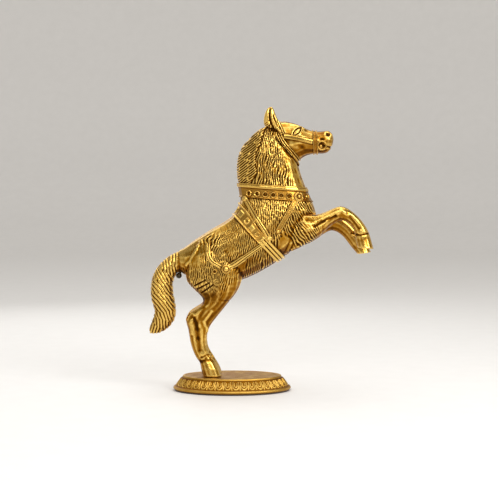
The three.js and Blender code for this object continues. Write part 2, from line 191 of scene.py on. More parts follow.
class Skin:
    """A closed mesh of four-sided faces, with its vertices in millimetres."""

    def __init__(self, vertices, quads):
        self.co = vertices
        self.quads = quads
        ends = np.concatenate([quads[:, [a, (a + 1) % 4]] for a in range(4)])
        ends.sort(axis=1)
        keys = ends[:, 0] * len(vertices) + ends[:, 1]
        self.edges = ends[np.unique(keys, return_index=True)[1]]
        self.degree = np.bincount(self.edges.ravel(), minlength=len(vertices))

    def mean_around(self, values):
        """The mean of the values at each vertex's neighbours."""
        a, b = self.edges.T
        count = len(self.co)
        total = np.bincount(a, values[b], count) + np.bincount(b, values[a], count)
        return total / np.maximum(self.degree, 1)

    def spread(self, vectors):
        """The mean around each vertex of each axis of the vectors."""
        return np.stack([self.mean_around(vectors[:, axis]) for axis in range(3)], axis=1)

    def relax(self, rounds, shrink=0.5, swell=0.52):
        """Smooths in pairs of a shrinking and a swelling step, which keeps the thickness."""
        for _ in range(rounds):
            self.co += shrink * (self.spread(self.co) - self.co)
            self.co -= swell * (self.spread(self.co) - self.co)

    def normals(self):
        p = self.co[self.quads]
        across = np.cross(p[:, 2] - p[:, 0], p[:, 3] - p[:, 1])
        count = len(self.co)
        total = np.zeros((count, 3))
        for corner in range(4):
            for axis in range(3):
                total[:, axis] += np.bincount(self.quads[:, corner], across[:, axis], count)
        return total / np.maximum(np.linalg.norm(total, axis=1, keepdims=True), 1e-12)


# ---- the casting ----
CAST_NODES = ["tail"] + [f"{side}_{part}" for side in SIDES for part in ("body_shell", "foreleg", "hind_leg")]


def joint_plane(x, z, lean_degrees):
    """A point and a normal of the side view, the normal pointing out along the limb."""
    lean = math.radians(lean_degrees)
    return np.array([x, 0, z + SOLE]), np.array([math.cos(lean), 0, -math.sin(lean)])


JOINTS = {
    "hind_leg": joint_plane(-15, 81, 94),
    "foreleg": joint_plane(93, 159, -8),
    "tail": joint_plane(-55.5, 120.5, 180),
}


def closed_up(name, vertices):
    """Pushes a solid's joint faces a little into its neighbour, so that the fused skin has no slit."""
    side, _, part = name.partition("_")
    if part == "body_shell":
        seam = np.abs(vertices[:, 1]) < 0.2
        vertices[seam, 1] = -SIDES[side] * 0.8
        return vertices
    point, normal = JOINTS[part or name]
    inside = (vertices - point) @ normal < 0.1
    vertices[inside] -= normal * 1.2
    return vertices


@functools.lru_cache(maxsize=1)
def bare_form():
    """The whole horse as one smooth skin, without its surface detail or its harness."""
    vertices, faces, start = [], [], 0
    for name in CAST_NODES:
        mesh = frame["nodes"][name].data
        co = np.empty(3 * len(mesh.vertices))
        mesh.vertices.foreach_get("co", co)
        co = closed_up(name, co.reshape(-1, 3) / MM)
        vertices.append(co)
        faces += [[start + v for v in face.vertices] for face in mesh.polygons]
        start += len(co)
    fused = bpy.data.meshes.new("fused")
    fused.from_pydata(np.concatenate(vertices).tolist(), [], faces)
    holder = bpy.data.objects.new("fused", fused)
    bpy.context.scene.collection.objects.link(holder)
    remesh = holder.modifiers.new("voxels", "REMESH")
    remesh.mode = "VOXEL"
    remesh.voxel_size = bpy.context.scene.statuette_sizes.grain / MM
    made = holder.evaluated_get(bpy.context.evaluated_depsgraph_get()).to_mesh()
    co = np.empty(3 * len(made.vertices))
    made.vertices.foreach_get("co", co)
    corners = np.empty(len(made.loops), int)
    made.loops.foreach_get("vertex_index", corners)
    if len(corners) != 4 * len(made.polygons):
        raise RuntimeError("the fused skin is not all four-sided")
    skin = Skin(co.reshape(-1, 3), corners.reshape(-1, 4))
    holder.to_mesh_clear()
    bpy.data.objects.remove(holder)
    skin.relax(45)
    return skin


# ---- the sculptor's surface: each function gives (height, darkness) over the side view ----
# Height is in millimetres outwards. Darkness is how much dark patina a place holds, from 0 to 1, with painted shade
# added in a few places.
def crest_line(h):
    """The x of the parting between the crest and the hanging mane, at a height above the soles."""
    return np.interp(h, [200, 204, 212, 232, 241, 253, 260, 266], [16, 20, 25, 25, 29, 32, 37, 42])


def windpipe_line(h):
    """The x where the mane thins out to the smooth front of the neck."""
    return np.interp(h, [196, 201, 212, 220, 229, 240, 262], [66, 64.5, 61, 57.5, 53, 53, 50])


def throat_side(x, h):
    """How far a place is in front of the throat latch; below 0 it is on the neck."""
    return (x - 42) * 0.825 + (h - 265.2) * 0.565


def mane(x, y, h):
    neck = smoothstep(192, 195, h) * smoothstep(1, -1, throat_side(x, h)) * smoothstep(267, 261, h)
    parting = x - crest_line(h) + 0.9 * lattice_noise(h / 2.6, y * 0, y * 0, 13)
    crest = neck * smoothstep(0.6, -0.6, parting)
    wave = 0.45 * lattice_noise(x / 7, h / 9, y * 0, 11)
    across = -0.6 * x + 0.8 * h + wave
    hatch = stroke_cut(across, 0.8 * x + 0.6 * h, 2.1, 17, 21, gap=0.05)
    reach = np.maximum(windpipe_line(h) - crest_line(h), 4)
    drift = 0.3 * np.sin(h / 4.2 + x / 6)
    lock = (x - np.interp(h, [200, 262], [22, 34])) / np.interp(h, [200, 262], [2.75, 1.5]) + drift
    strands = hair_cut(lock, h, 1, 22, 31, x, 0 * y, h)
    hanging = neck * smoothstep(-0.4, 0.8, parting) * smoothstep(1.1, 0.8, parting / reach)
    fine = stroke_cut(lock * 2 + 0.3, h, 1, 9, 37, gap=0.4)
    cut = 0.6 * crest * hatch + hanging * np.maximum(1.0 * strands, 0.4 * fine)
    edge = bell(parting - 0.1, 1.15) * neck
    front = smoothstep(1.0, 1.15, parting / reach) * neck * smoothstep(-2, -5, throat_side(x, h))
    fleck = stroke_cut(x + 0.3 * h, h, 3.4, 9, 33, gap=0.95)
    cut = cut + 0.2 * front * fleck
    dark = np.max(
        [0.85 * crest * hatch, hanging * strands, 0.4 * hanging * fine, 0.95 * edge, 0.35 * front * fleck], axis=0
    )
    return 0.55 * neck * bell(parting + 1.8, 1.4) - cut - 0.5 * edge, dark


SMOOTH_PLACES = [
    # Ovals where the metal is left plain: middle (x, h), half axes, turn in degrees, how plain it is.
    (-46, 124, 15, 8, 40, 0.9),
    (-33, 127, 5.5, 13, -24, 0.65),
    (-3, 102, 27, 7, 60, 0.55),
    (-1, 85, 23, 7.5, 58, 1.0),
    (11, 116, 3.4, 11, 6, 0.8),
    (84, 160, 9, 5, 20, 0.6),
    (10, 176, 9, 5, 30, 0.6),
]


def plain(x, h):
    """How much of the coat is left where the metal is plain in places."""
    left = np.ones_like(x)
    for middle_x, middle_h, long, short, turn, much in SMOOTH_PLACES:
        c, s = math.cos(math.radians(turn)), math.sin(math.radians(turn))
        u, v = (x - middle_x) * c + (h - middle_h) * s, (h - middle_h) * c - (x - middle_x) * s
        left *= 1 - much * smoothstep(1.25, 0.75, np.hypot(u / long, v / short))
    return left


def coat(x, y, h, normal):
    """Short wavy cuts over the shoulder, barrel and haunch, thinning out where the metal is polished."""
    lean = ([-52, -34, -12, 10, 30, 50, 64, 84], np.radians([14, 4, -20, -6, -2, 6, 20, 30]))
    stations = np.arange(-60, 100, 0.5)
    walked = np.cumsum(np.cos(np.interp(stations, *lean))) * 0.5
    middle = np.interp(x, [-50, -20, 10, 50, 80], [114, 116, 142, 165, 176])
    drop = h - 0.6 * np.abs(y)
    across = np.interp(x, stations, walked) + (h - middle) * np.sin(np.interp(x, *lean))
    across = across + 0.3 * np.sin(drop / 1.9 + x / 4)
    cut = hair_cut(across, drop, 2.1, 9.5, 51, x, y, h)
    where = smoothstep(197, 194, h) * smoothstep(66, 84, h + 0.25 * x) * smoothstep(-55, -50, x)
    limb = smoothstep(94, 84, x)
    back = 1 - 0.9 * smoothstep(0.35, 0.75, normal[:, 2])
    front = 1 - 0.7 * smoothstep(0.6, 0.9, normal[:, 0])
    patchy = 0.8 + 0.6 * lattice_noise(x / 13, h / 12, y / 13, 61)
    rubbed = np.hypot((x - 12) / 24, (h - 158) / 15)
    patchy = patchy * (1 - 0.45 * smoothstep(1.2, 0.3, rubbed))
    croup = smoothstep(-26, -34, x)
    amount = np.clip(where * limb * back * front * (1 - 0.35 * croup) * plain(x, h) * patchy, 0, 1)
    belly = smoothstep(4, -12, h - middle)
    return -0.65 * amount * cut, np.clip(amount * (0.92 + 0.35 * belly) * cut + 0.15 * belly * where, 0, 1)


CREASES = [
    # Each crease: its depth, its width, how dark it is, and its line in the side view (x, height above the soles).
    # Hind leg: hock hollow, tendon groove and the folds above the hoof.
    (1.6, 2.6, 0.5, [(-40, 62), (-37.4, 55.5), (-36.2, 50)]),
    (0.7, 2.4, 0.2, [(-29, 72), (-33, 63), (-36.5, 55)]),
    (1.1, 2.6, 0.5, [(-36.2, 50), (-35.2, 40)]),
    (0.8, 2.2, 0.32, [(-35.2, 40), (-33.6, 28)]),
    (0.7, 1.9, 0.35, [(-34.5, 15), (-28, 17.4), (-21, 17.8), (-14, 15.4)]),
    (0.6, 1.3, 0.3, [(-32, 20), (-26, 22.8), (-20, 23.4)]),
    (0.6, 1.3, 0.25, [(-27.5, 19.5), (-24, 21), (-21, 19.6)]),
    # Thigh and flank.
    (0.8, 3.4, 0.15, [(-6, 131), (2, 117), (6.5, 106), (4, 92)]),
    (0.6, 3.4, 0.2, [(-36, 90), (-28, 86), (-20, 85)]),
    # Shoulder point and forearm.
    (1.6, 2.2, 0.75, [(86, 157.4), (93, 161.5), (101, 165.5), (107, 168)]),
    (0.7, 2.0, 0.4, [(78, 164), (86, 162), (92, 164)]),
    # Cannon and fetlock of the forelegs.
    (0.8, 1.7, 0.3, [(120, 170), (126, 163), (132, 155)]),
    (0.7, 1.3, 0.55, [(126.5, 149), (133, 148), (144, 150.4)]),
    # Jaw, lips and the hollow of the cheek.
    (0.6, 2.4, 0.1, [(70.5, 241), (77, 236.5), (86, 235.5)]),
    (1.0, 0.9, 0.95, [(95.2, 240.8), (99, 239.5), (104.5, 239.2)]),
    (0.5, 0.8, 0.75, [(63.8, 250.8), (72, 249), (80.4, 246.6)]),
]
GASH = [
    # The engraved cuts below the buttock.
    [(-38.5, 95.5), (-27.5, 101.8)],
    [(-36, 91.8), (-23.5, 98.8)],
    [(-31.5, 88), (-19.5, 96.6)],
]
RAISED = [
    # Each ridge: how high and how wide it is, and its line in the side view.
    (1.0, 1.5, [(-32, 141.5), (-38, 131), (-43.5, 121), (-47.5, 116.5)]),
    (0.9, 1.8, [(-25.5, 47), (-29, 58), (-21, 69)]),
    (0.7, 1.6, [(-41.5, 45), (-43.5, 56), (-39.5, 64.5)]),
    (0.9, 1.7, [(98, 163.5), (107, 171), (114, 173.5), (121, 169)]),
    (0.8, 2.2, [(62, 262), (69, 261.2), (75, 258.6)]),
    (1.0, 1.2, [(42.6, 267.5), (46.5, 261), (50.5, 255)]),
]


ELBOW = (55.5, 139.2)
CHEEK = (66, 243.5)
STRAP_SHADE = [
    # Painted shade along the straps, where they meet the skin: half the strap's width, how dark it is, and the strap's
    # line.
    (2.7, 1.0, [(55, 250.5), (69, 248), (83, 244.8)]),
    (3.0, 0.55, [(15, 184), (26, 165), (36, 150)]),
    (2.9, 0.85, [(64.5, 181.5), (56.5, 167.5), (48.5, 153.5)]),
    (2.7, 0.6, [(31, 137.8), (12, 124.5)]),
    (3.3, 0.6, [(12, 124.5), (1, 117.2)]),
    (2.3, 0.6, [(-24.6, 137), (-24.4, 128.5), (-20.4, 120.6), (-13, 116)]),
    (5.9, 0.9, [(6, 170.9), (45, 128.8)]),
    (7.8, 0.9, [(11, 194.8), (64, 190.8)]),
    (3.2, 0.9, [(52, 248), (55, 240), (61.5, 232)]),
    (2.7, 1.0, [(93.4, 241), (93.6, 241)]),
]


def anatomy(x, h, normal):
    """Creases, ridges and the smooth rounds of the muscles, with painted shade along the straps."""
    height = np.zeros_like(x)
    dark = np.zeros_like(x)
    flank = smoothstep(0.2, 0.5, np.abs(normal[:, 1]))
    # Painted shade on the skin along the edges of each strap.
    for half, shade, line in STRAP_SHADE:
        gap, _ = distance_along(x, h, line)
        dark = np.maximum(dark, shade * flank * smoothstep(half + 1.3, half + 0.3, gap))
    for depth, width, shade, line in CREASES:
        gap, _ = distance_along(x, h, line)
        mark = bell(gap, width) * flank
        height -= depth * mark
        dark = np.maximum(dark, shade * bell(gap, 0.8 * width) * flank)
    for line in GASH:
        gap, _ = distance_along(x, h, line)
        height -= 1.0 * bell(gap, 0.75) * flank
        dark = np.maximum(dark, bell(gap, 0.8) * flank)
    for rise, width, line in RAISED:
        gap, _ = distance_along(x, h, line)
        height += rise * bell(gap, width) * flank
    # The elbow is a smooth raised oval, and the cheek a round one.
    elbow = np.hypot((x - ELBOW[0]) / 6.6, (h - ELBOW[1]) / 7.6)
    height += flank * (0.7 * smoothstep(1.15, 0.2, elbow) - 0.35 * bell(elbow - 1.14, 0.14) * smoothstep(54, 61, x))
    dark = np.maximum(dark, 0.3 * flank * bell(elbow - 1.13, 0.16) * smoothstep(54, 61, x))
    cheek = np.hypot((x - CHEEK[0]) / 8.5, (h - CHEEK[1]) / 8)
    height += 1.1 * smoothstep(1.1, 0.4, cheek) * flank
    return height, dark


def off_elbow(x, h):
    """0 on the elbow, where the metal is smooth, and 1 away from it."""
    elbow = np.hypot((x - ELBOW[0]) / 7.4, (h - ELBOW[1]) / 8.4)
    return smoothstep(0.9, 1.1, elbow)


EYE, EYE_TURN = (67.6, 255.2), 40
EYE_LONG, EYE_TALL = 7.0, 3.0  # half the eye's length and half its height
NOSTRIL = (100.6, 252.6)
NOSE_HOLLOW = (94.0, 247.6)
MOUTH_HEIGHT, CHIN_HEIGHT = 239.4, 235.6


def face(x, h, normal):
    """The eye, the nostrils, the mouth and the forelock."""
    flank = smoothstep(0.15, 0.45, np.abs(normal[:, 1]))
    dx, dh = x - EYE[0], h - EYE[1]
    turn = math.radians(EYE_TURN)
    u, v = dx * math.cos(turn) + dh * math.sin(turn), -dx * math.sin(turn) + dh * math.cos(turn)
    # An almond: two arcs that meet in the corners of the eye.
    rim = np.abs(v) + (u / EYE_LONG) ** 2 * EYE_TALL - EYE_TALL
    height = flank * (0.6 * bell(rim - 0.3, 0.7) - 1.0 * bell(rim + 0.6, 0.6) + 0.6 * smoothstep(-1.0, -2.2, rim))
    dark = flank * bell(rim + 0.45, 0.95)
    pupil = np.hypot(u - 0.2, v)
    height -= 0.3 * flank * bell(pupil, 0.5)
    dark = np.maximum(dark, 0.6 * flank * bell(pupil, 0.45))
    nostril = np.hypot(x - NOSTRIL[0], (h - NOSTRIL[1]) * 1.05)
    height += flank * (0.35 * bell(nostril - 3.4, 1.0) - 2.2 * bell(nostril, 1.9))
    dark = np.maximum(dark, smoothstep(3.2, 1.9, nostril) * flank)
    hollow = np.hypot((x - NOSE_HOLLOW[0]) / 3.4, (h - NOSE_HOLLOW[1]) / 1.7)
    height -= 1.2 * flank * bell(hollow, 0.8)
    dark = np.maximum(dark, 0.95 * bell(hollow, 0.8) * flank)
    # The muzzle is darker all over, with painted shade towards its lower edge, and a little darker again towards the
    # top.
    muzzle = smoothstep(84, 93, x) * (0.45 + 0.2 * smoothstep(244, 238, h) + 0.15 * smoothstep(250, 258, h))
    dark = np.maximum(dark, muzzle * np.maximum(flank, 0.7))
    # The lips meet across the front of the muzzle, with the chin's crease below them.
    ahead = (1 - flank) * smoothstep(96, 100, x)
    lips = bell(h - MOUTH_HEIGHT, 0.9)
    chin = bell(h - CHIN_HEIGHT, 1.3)
    height -= ahead * (1.0 * lips + 0.4 * chin)
    dark = np.maximum(dark, ahead * np.maximum(0.9 * lips, 0.4 * chin))
    # The forelock falls in front of the ear in a few locks.
    lock = throat_side(x, h) - 1.2 - 0.22 * (h - 252.7)
    fall = smoothstep(0, 0.5, lock) * smoothstep(3.8, 3.0, lock) * smoothstep(251, 253, h) * smoothstep(269, 266, h)
    cut = stroke_cut(lock, h, 1.7, 60, 71, gap=0)
    height += fall * (0.5 - 1.0 * cut)
    dark = np.maximum(dark, fall * cut)
    return height, dark


EAR_GROOVES = [
    # Each groove of the ear: its depth, its width and its line.
    (1.7, 1.3, [(39.4, 279), (38.9, 272), (39.8, 266), (42.4, 259), (45.4, 254)]),
    (0.6, 0.9, [(43.4, 272), (45.2, 266), (47.6, 260.5)]),
]


def ear(x, y, h):
    outer = smoothstep(6.4, 8.0, np.abs(y)) * smoothstep(254, 258, h)
    height, dark = np.zeros_like(x), np.zeros_like(x)
    for depth, width, line in EAR_GROOVES:
        gap, _ = distance_along(x, h, line)
        height -= depth * bell(gap, width) * outer
        dark = np.maximum(dark, 0.85 * min(depth, 1) * bell(gap, 0.8 * width) * outer)
    return height, dark


TAIL_LINE = [
    (-50, 122), (-61, 116), (-69, 108.5), (-73, 99), (-73.8, 87.5),
    (-72, 76.5), (-70.6, 67), (-72.3, 58.5), (-77, 50.5), (-86, 44),
]
STRAND_WIDTH = 3.25
TAIL_TWIST = [27, 30, 34, 42, 55, 60, 62, 58, 52, 52]  # degrees between the strands' normal and the tail's line


def tail(x, y, h):
    """Twisted strands, each round, with a sharp groove between them."""
    line = np.asarray(TAIL_LINE, float)
    _, place = distance_along(x, h, line)
    stations = np.concatenate([[0], np.cumsum(np.hypot(*np.diff(line, axis=0).T))])

    def on_line(way):
        return [np.interp(way, stations, line[:, axis]) for axis in (0, 1)]

    ahead = [further - nearer for further, nearer in zip(on_line(place + 1.5), on_line(place - 1.5))]
    on = on_line(place)
    aside = -(x - on[0]) * ahead[1] + (h - on[1]) * ahead[0]
    offset = -aside / np.maximum(np.hypot(*ahead), 1e-6)
    twist = np.radians(np.interp(place, stations, TAIL_TWIST))
    steps = np.linspace(0, stations[-1], 400)
    walked = np.cumsum(np.cos(np.radians(np.interp(steps, stations, TAIL_TWIST)))) * (steps[1] / STRAND_WIDTH)
    phase = np.interp(place, steps, walked) + offset * np.sin(twist) / STRAND_WIDTH
    phase = phase + 0.12 * lattice_noise(x / 7, h / 7, y / 9, 81)
    part = phase - np.floor(phase)
    rounded = np.sqrt(np.clip(1 - (2 * part - 1) ** 2, 0, 1))
    where = smoothstep(-56.2, -58, x) * smoothstep(0, 4, np.abs(y) + 3)
    return where * (1.25 * rounded - 1.25), 0.9 * where * smoothstep(0.7, 0.25, rounded)


EAR_ROOM, EAR_SQUEEZE = 1.6, 0.35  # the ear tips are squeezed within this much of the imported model's top


@functools.lru_cache(maxsize=1)
def sculpted():
    """The skin with all its detail, and at each vertex its darkness from patina and painted shade."""
    form = bare_form()
    skin = Skin(form.co.copy(), form.quads)
    normal = skin.normals()
    x, y, h = skin.co[:, 0], skin.co[:, 1], skin.co[:, 2] - SOLE
    chased = off_elbow(x, h)
    body = smoothstep(-56.2, -55.2, x)
    head = smoothstep(-1, 1, throat_side(x, h)) * smoothstep(222, 226, h)
    low, low_dark = coat(x, y, h, normal)
    neck, neck_dark = mane(x, y, h)
    shape, shape_dark = anatomy(x, h, normal)
    look, look_dark = face(x, h, normal)
    scoop, scoop_dark = ear(x, y, h)
    strands, strands_dark = tail(x, y, h)
    depth = bpy.context.scene.statuette_sizes.cut_depth
    height = depth * body * (chased * low + neck) + body * shape + head * look + scoop + depth * strands
    dark = np.max(
        [body * chased * low_dark, body * neck_dark, body * shape_dark, head * look_dark, scoop_dark, strands_dark],
        axis=0,
    )
    # Painted shade: faces that point down are darkened, and so are faces that point back on the lower part of the
    # horse.
    under = smoothstep(0.2, -0.7, normal[:, 2])
    behind = smoothstep(0.1, -0.8, normal[:, 0]) * smoothstep(96, 84, h)
    # The forelegs, the lower hind legs and the head are made a little darker, and the hanging end of the tail more.
    limbs = np.max([smoothstep(98, 108, x) * smoothstep(200, 190, h), smoothstep(92, 80, h) * body, 0.8 * head], axis=0)
    tip = smoothstep(62, 46, h) * (1 - body)
    dark = 1 - (1 - np.clip(dark, 0, 1)) * (1 - 0.6 * under) * (1 - 0.4 * behind) * (1 - 0.2 * limbs) * (1 - 0.4 * tip)
    skin.co += normal * height[:, None]
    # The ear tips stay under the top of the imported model.
    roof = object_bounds()[1][2] / MM - EAR_ROOM
    over = np.maximum(skin.co[:, 2] - roof, 0)
    skin.co[:, 2] -= EAR_SQUEEZE * over
    hollow = np.zeros(len(skin.co))
    calm = skin.co.copy()
    for _ in range(3):
        for _ in range(8):
            calm = skin.spread(calm)
        hollow += ((calm - skin.co) * normal).sum(axis=1)
    return skin, dark, hollow


# ---- cutting the skin into its castings ----
def loose_bmesh():
    """The sculpted skin as an editable mesh, with its patina, painted shade and hollow on the vertices."""
    skin, dark, hollow = sculpted()
    mesh = bpy.data.meshes.new("skin")
    mesh.vertices.add(len(skin.co))
    mesh.vertices.foreach_set("co", skin.co.ravel())
    mesh.loops.add(4 * len(skin.quads))
    mesh.loops.foreach_set("vertex_index", skin.quads.ravel().astype(np.int32))
    mesh.polygons.add(len(skin.quads))
    mesh.polygons.foreach_set("loop_start", np.arange(0, 4 * len(skin.quads), 4, dtype=np.int32))
    mesh.update(calc_edges=True)
    for key, values in (("recess", dark), ("hollow", hollow)):
        mesh.attributes.new(key, "FLOAT", "POINT").data.foreach_set("value", values.astype(np.float32))
    shape = bmesh.new()
    shape.from_mesh(mesh)
    bpy.data.meshes.remove(mesh)
    return shape


def capped(shape, edges):
    """Closes an opening with a flat face whose rim stays sharp."""
    for face in bmesh.ops.holes_fill(shape, edges=edges)["faces"]:
        face.smooth = False
        for edge in face.edges:
            edge.smooth = False


def bisected(shape, point, normal, clear):
    """Cuts the shape along a plane, clears what lies past it if asked, and returns the cut's edges."""
    everything = shape.verts[:] + shape.edges[:] + shape.faces[:]
    cut = bmesh.ops.bisect_plane(
        shape, geom=everything, dist=1e-4, plane_co=point, plane_no=normal, clear_outer=clear
    )["geom_cut"]
    return [part for part in cut if isinstance(part, bmesh.types.BMEdge)]


def kept_side(shape, point, normal):
    """A copy of the shape without what lies past the plane, closed again."""
    half = shape.copy()
    capped(half, bisected(half, point, normal, True))
    return half


LIMB_ROOF = 215  # no limb reaches this high; the head, also past the foreleg's plane, stays with the body


def take_limb(shape, part):
    """Moves the limb past its joint plane out of the shape into one of its own; both stay closed."""
    point, normal = JOINTS[part]
    bisected(shape, point, normal, False)
    past = []
    for face in shape.faces:
        centre = face.calc_center_median()
        if (centre - Vector(point)).dot(Vector(normal)) > 0 and centre.z < LIMB_ROOF + SOLE:
            past.append(face)
    shape.faces.index_update()
    taken = {face.index for face in past}
    limb = shape.copy()
    bmesh.ops.delete(limb, geom=[face for face in limb.faces if face.index not in taken], context="FACES")
    bmesh.ops.delete(shape, geom=past, context="FACES")
    for each in (limb, shape):
        capped(each, [edge for edge in each.edges if edge.is_boundary])
    return limb


def cast_piece(name, shape, material):
    mesh = bpy.data.meshes.new(name + "_cast")
    for vertex in shape.verts:
        vertex.co *= MM
    shape.to_mesh(mesh)
    shape.free()
    piece = bpy.data.objects.new(name + "_cast", mesh)
    bpy.context.scene.collection.objects.link(piece)
    kept(piece, material, "antique_gold", name)


def build_casting(material):
    whole = loose_bmesh()
    for face in whole.faces:
        face.smooth = True
    point, normal = JOINTS["tail"]
    cast_piece("tail", kept_side(whole, point, -normal), material)
    trunk = kept_side(whole, point, normal)
    whole.free()
    for side, sign in SIDES.items():
        half = kept_side(trunk, (0, 0, 0), (0, -sign, 0))
        for part in ("foreleg", "hind_leg"):
            cast_piece(f"{side}_{part}", take_limb(half, part), material)
        cast_piece(f"{side}_body_shell", half, material)
    trunk.free()


# ---- materials ----
class Value:
    """A socket of a node tree that stands in Python expressions and adds their Math nodes."""

    def __init__(self, tree, socket):
        self.tree = tree
        self.socket = socket

    def math(self, operation, *operands):
        node = self.tree.nodes.new("ShaderNodeMath")
        node.operation = operation
        for place, operand in zip(node.inputs, operands):
            if isinstance(operand, Value):
                self.tree.links.new(operand.socket, place)
            else:
                place.default_value = operand
        return Value(self.tree, node.outputs[0])

    def __add__(self, other):
        return self.math("ADD", self, other)

    def __sub__(self, other):
        return self.math("SUBTRACT", self, other)

    def __rsub__(self, other):
        return self.math("SUBTRACT", other, self)

    def __mul__(self, other):
        return self.math("MULTIPLY", self, other)

    __radd__ = __add__
    __rmul__ = __mul__

    def clamped(self):
        node = self.tree.nodes.new("ShaderNodeClamp")
        self.tree.links.new(self.socket, node.inputs[0])
        return Value(self.tree, node.outputs[0])


class Finish:
    """A material under construction."""

    def __init__(self, name):
        self.material = bpy.data.materials.new(name)
        self.material.use_nodes = True
        self.tree = self.material.node_tree
        self.tree.nodes.clear()
        output = self.tree.nodes.new("ShaderNodeOutputMaterial")
        self.surface = self.tree.nodes.new("ShaderNodeBsdfPrincipled")
        self.tree.links.new(self.surface.outputs[0], output.inputs[0])

    def node(self, kind, settings=None, **sockets):
        """Adds a node: its settings first, then values or links of its sockets, named with underscores."""
        node = self.tree.nodes.new("ShaderNode" + kind)
        for key, value in (settings or {}).items():
            setattr(node, key, value)
        for key, value in sockets.items():
            self.put(node.inputs[key.replace("_", " ")], value)
        return node

    def put(self, socket, value):
        if isinstance(value, Value):
            self.tree.links.new(value.socket, socket)
        else:
            socket.default_value = value

    def value(self, node, output=0):
        return Value(self.tree, node.outputs[output])

    def attribute(self, name):
        return self.value(self.node("Attribute", {"attribute_name": name}), "Fac")

    def place(self, stretch=(1, 1, 1)):
        """Places on the piece in metres, stretched along the axes."""
        coordinates = self.value(self.node("TexCoord"), "Object")
        return self.value(self.node("Mapping", Vector=coordinates, Scale=stretch))

    def noise(self, scale, detail=3.0, rough=0.5, stretch=(1, 1, 1)):
        """Noise around 0.5, with `scale` grains to the metre."""
        return self.value(
            self.node("TexNoise", Vector=self.place(stretch), Scale=scale, Detail=detail, Roughness=rough)
        )

    def mix(self, share, first, second):
        """A colour between two others."""
        node = self.node("Mix", {"data_type": "RGBA"})
        self.put(node.inputs["Factor"], share)
        for index, colour in ((6, first), (7, second)):
            self.put(node.inputs[index], colour)
        return self.value(node, 2)

    def bump(self, height, distance, strength=1.0):
        return self.value(self.node("Bump", Height=height, Distance=distance, Strength=strength))

    def finish(self, **sockets):
        for key, value in sockets.items():
            self.put(self.surface.inputs[key.replace("_", " ")], value)
        return self.material


def colour(value):
    return (*value, 1.0)


def gold(name, patina=1.0, rough=0.24, sand=0.0, polish=0.24):
    """Antique gold: dark brown patina lies in the recesses, painted shade darkens it further in places, and the high
    places are rubbed bright.
    """
    looks = bpy.context.scene.statuette_finish
    finish = Finish(name)
    recess = finish.attribute("recess")
    hollow = finish.attribute("hollow")
    mottle = finish.noise(70, 4, 0.6)
    speckle = finish.noise(900, 3, 0.6)
    # Patina in the hollows and painted shade both come in here, and both take the brown and patina colours below.
    stain_and_shade = ((recess * 1.05 + hollow * 0.6 + (mottle - 0.5) * 0.35 + (speckle - 0.5) * 0.3) * patina).clamped()
    rubbed = ((polish - hollow * 1.3 - recess * 0.8 + (mottle - 0.5) * 1.0) * 1.5).clamped()
    metal = finish.mix(rubbed, colour(looks.gold), colour(looks.bright))
    warm = finish.mix((stain_and_shade * 1.5).clamped(), metal, colour(looks.brown))
    base = finish.mix(((stain_and_shade - 0.5) * 2.2).clamped(), warm, colour(looks.patina))
    roughness = (rough + stain_and_shade * 0.28 + (speckle - 0.5) * 0.1 + (mottle - 0.5) * 0.12).clamped()
    grain = finish.noise(1400 if sand else 700, 4, 0.7)
    normal = finish.bump(grain, 0.0004 if sand else 0.00012, 0.35 + sand)
    return finish.finish(Base_Color=base, Roughness=roughness, Metallic=1.0, Normal=normal)


def steel(name, tone, spread, rough):
    """Turned steel: fine rings of tool marks, with darker patches where the coating is uneven."""
    finish = Finish(name)
    patches = finish.noise(260, 4, 0.6)
    marks = finish.noise(2600, 2, 0.5, (1, 1, 0.15))
    dull = tuple(part * (1 - spread) for part in tone)
    base = finish.mix((patches * 1.6 - 0.3).clamped(), colour(tone), colour(dull))
    roughness = (rough + (marks - 0.5) * 0.25 + (patches - 0.5) * 0.2).clamped()
    return finish.finish(
        Base_Color=base, Roughness=roughness, Metallic=1.0, Normal=finish.bump(marks, 0.00006, 0.5)
    )


def felt(name, tone):
    """Pressed felt: matted fibres with a few lighter ones."""
    finish = Finish(name)
    mat = finish.noise(900, 6, 0.75)
    fibres = finish.noise(2400, 4, 0.7, (1, 0.25, 1))
    light = tuple(part * 1.9 for part in tone)
    base = finish.mix(((mat * 0.6 + fibres * 0.6 - 0.35) * 1.4).clamped(), colour(tone), colour(light))
    return finish.finish(
        Base_Color=base,
        Roughness=(0.86 + (fibres - 0.5) * 0.15).clamped(),
        Sheen_Weight=0.4,
        Sheen_Roughness=0.5,
        Normal=finish.bump(mat + fibres, 0.0003, 0.8),
    )


# ---- bands laid over the form ----
@functools.lru_cache(maxsize=1)
def form_tree():
    form = bare_form()
    return BVHTree.FromPolygons(form.co.tolist(), form.quads.tolist())


def landed(starts, ways):
    """Where rays meet the form, and the form's normals there, in arrays of the same shape."""
    spots, normals = np.empty_like(starts), np.empty_like(starts)
    for index in np.ndindex(starts.shape[:-1]):
        spot, normal, _, _ = form_tree().ray_cast(starts[index], ways[index])
        if spot is None:
            spot, normal, _, _ = form_tree().find_nearest(starts[index])
        spots[index], normals[index] = spot, normal
    return spots, normals


def from_side(x, h, side):
    """Spots on one side of the form for points of the side view, at a height above the soles."""
    x, h = np.broadcast_arrays(np.asarray(x, float), np.asarray(h, float))
    starts = np.stack([x, np.full(x.shape, side * 60.0), h + SOLE], axis=-1)
    return landed(starts, np.broadcast_to([0.0, -side, 0.0], starts.shape).copy())


def grid_faces(rows, columns, start=0, ring=False):
    """Four-sided faces over a grid of vertices; `ring` joins the last row to the first."""
    row = np.arange(rows if ring else rows - 1)[:, None]
    column = np.arange(columns - 1)[None, :]
    a = start + row * columns + column
    b = start + ((row + 1) % rows) * columns + column
    return np.stack([a, b, b + 1, a + 1], axis=-1).reshape(-1, 4)


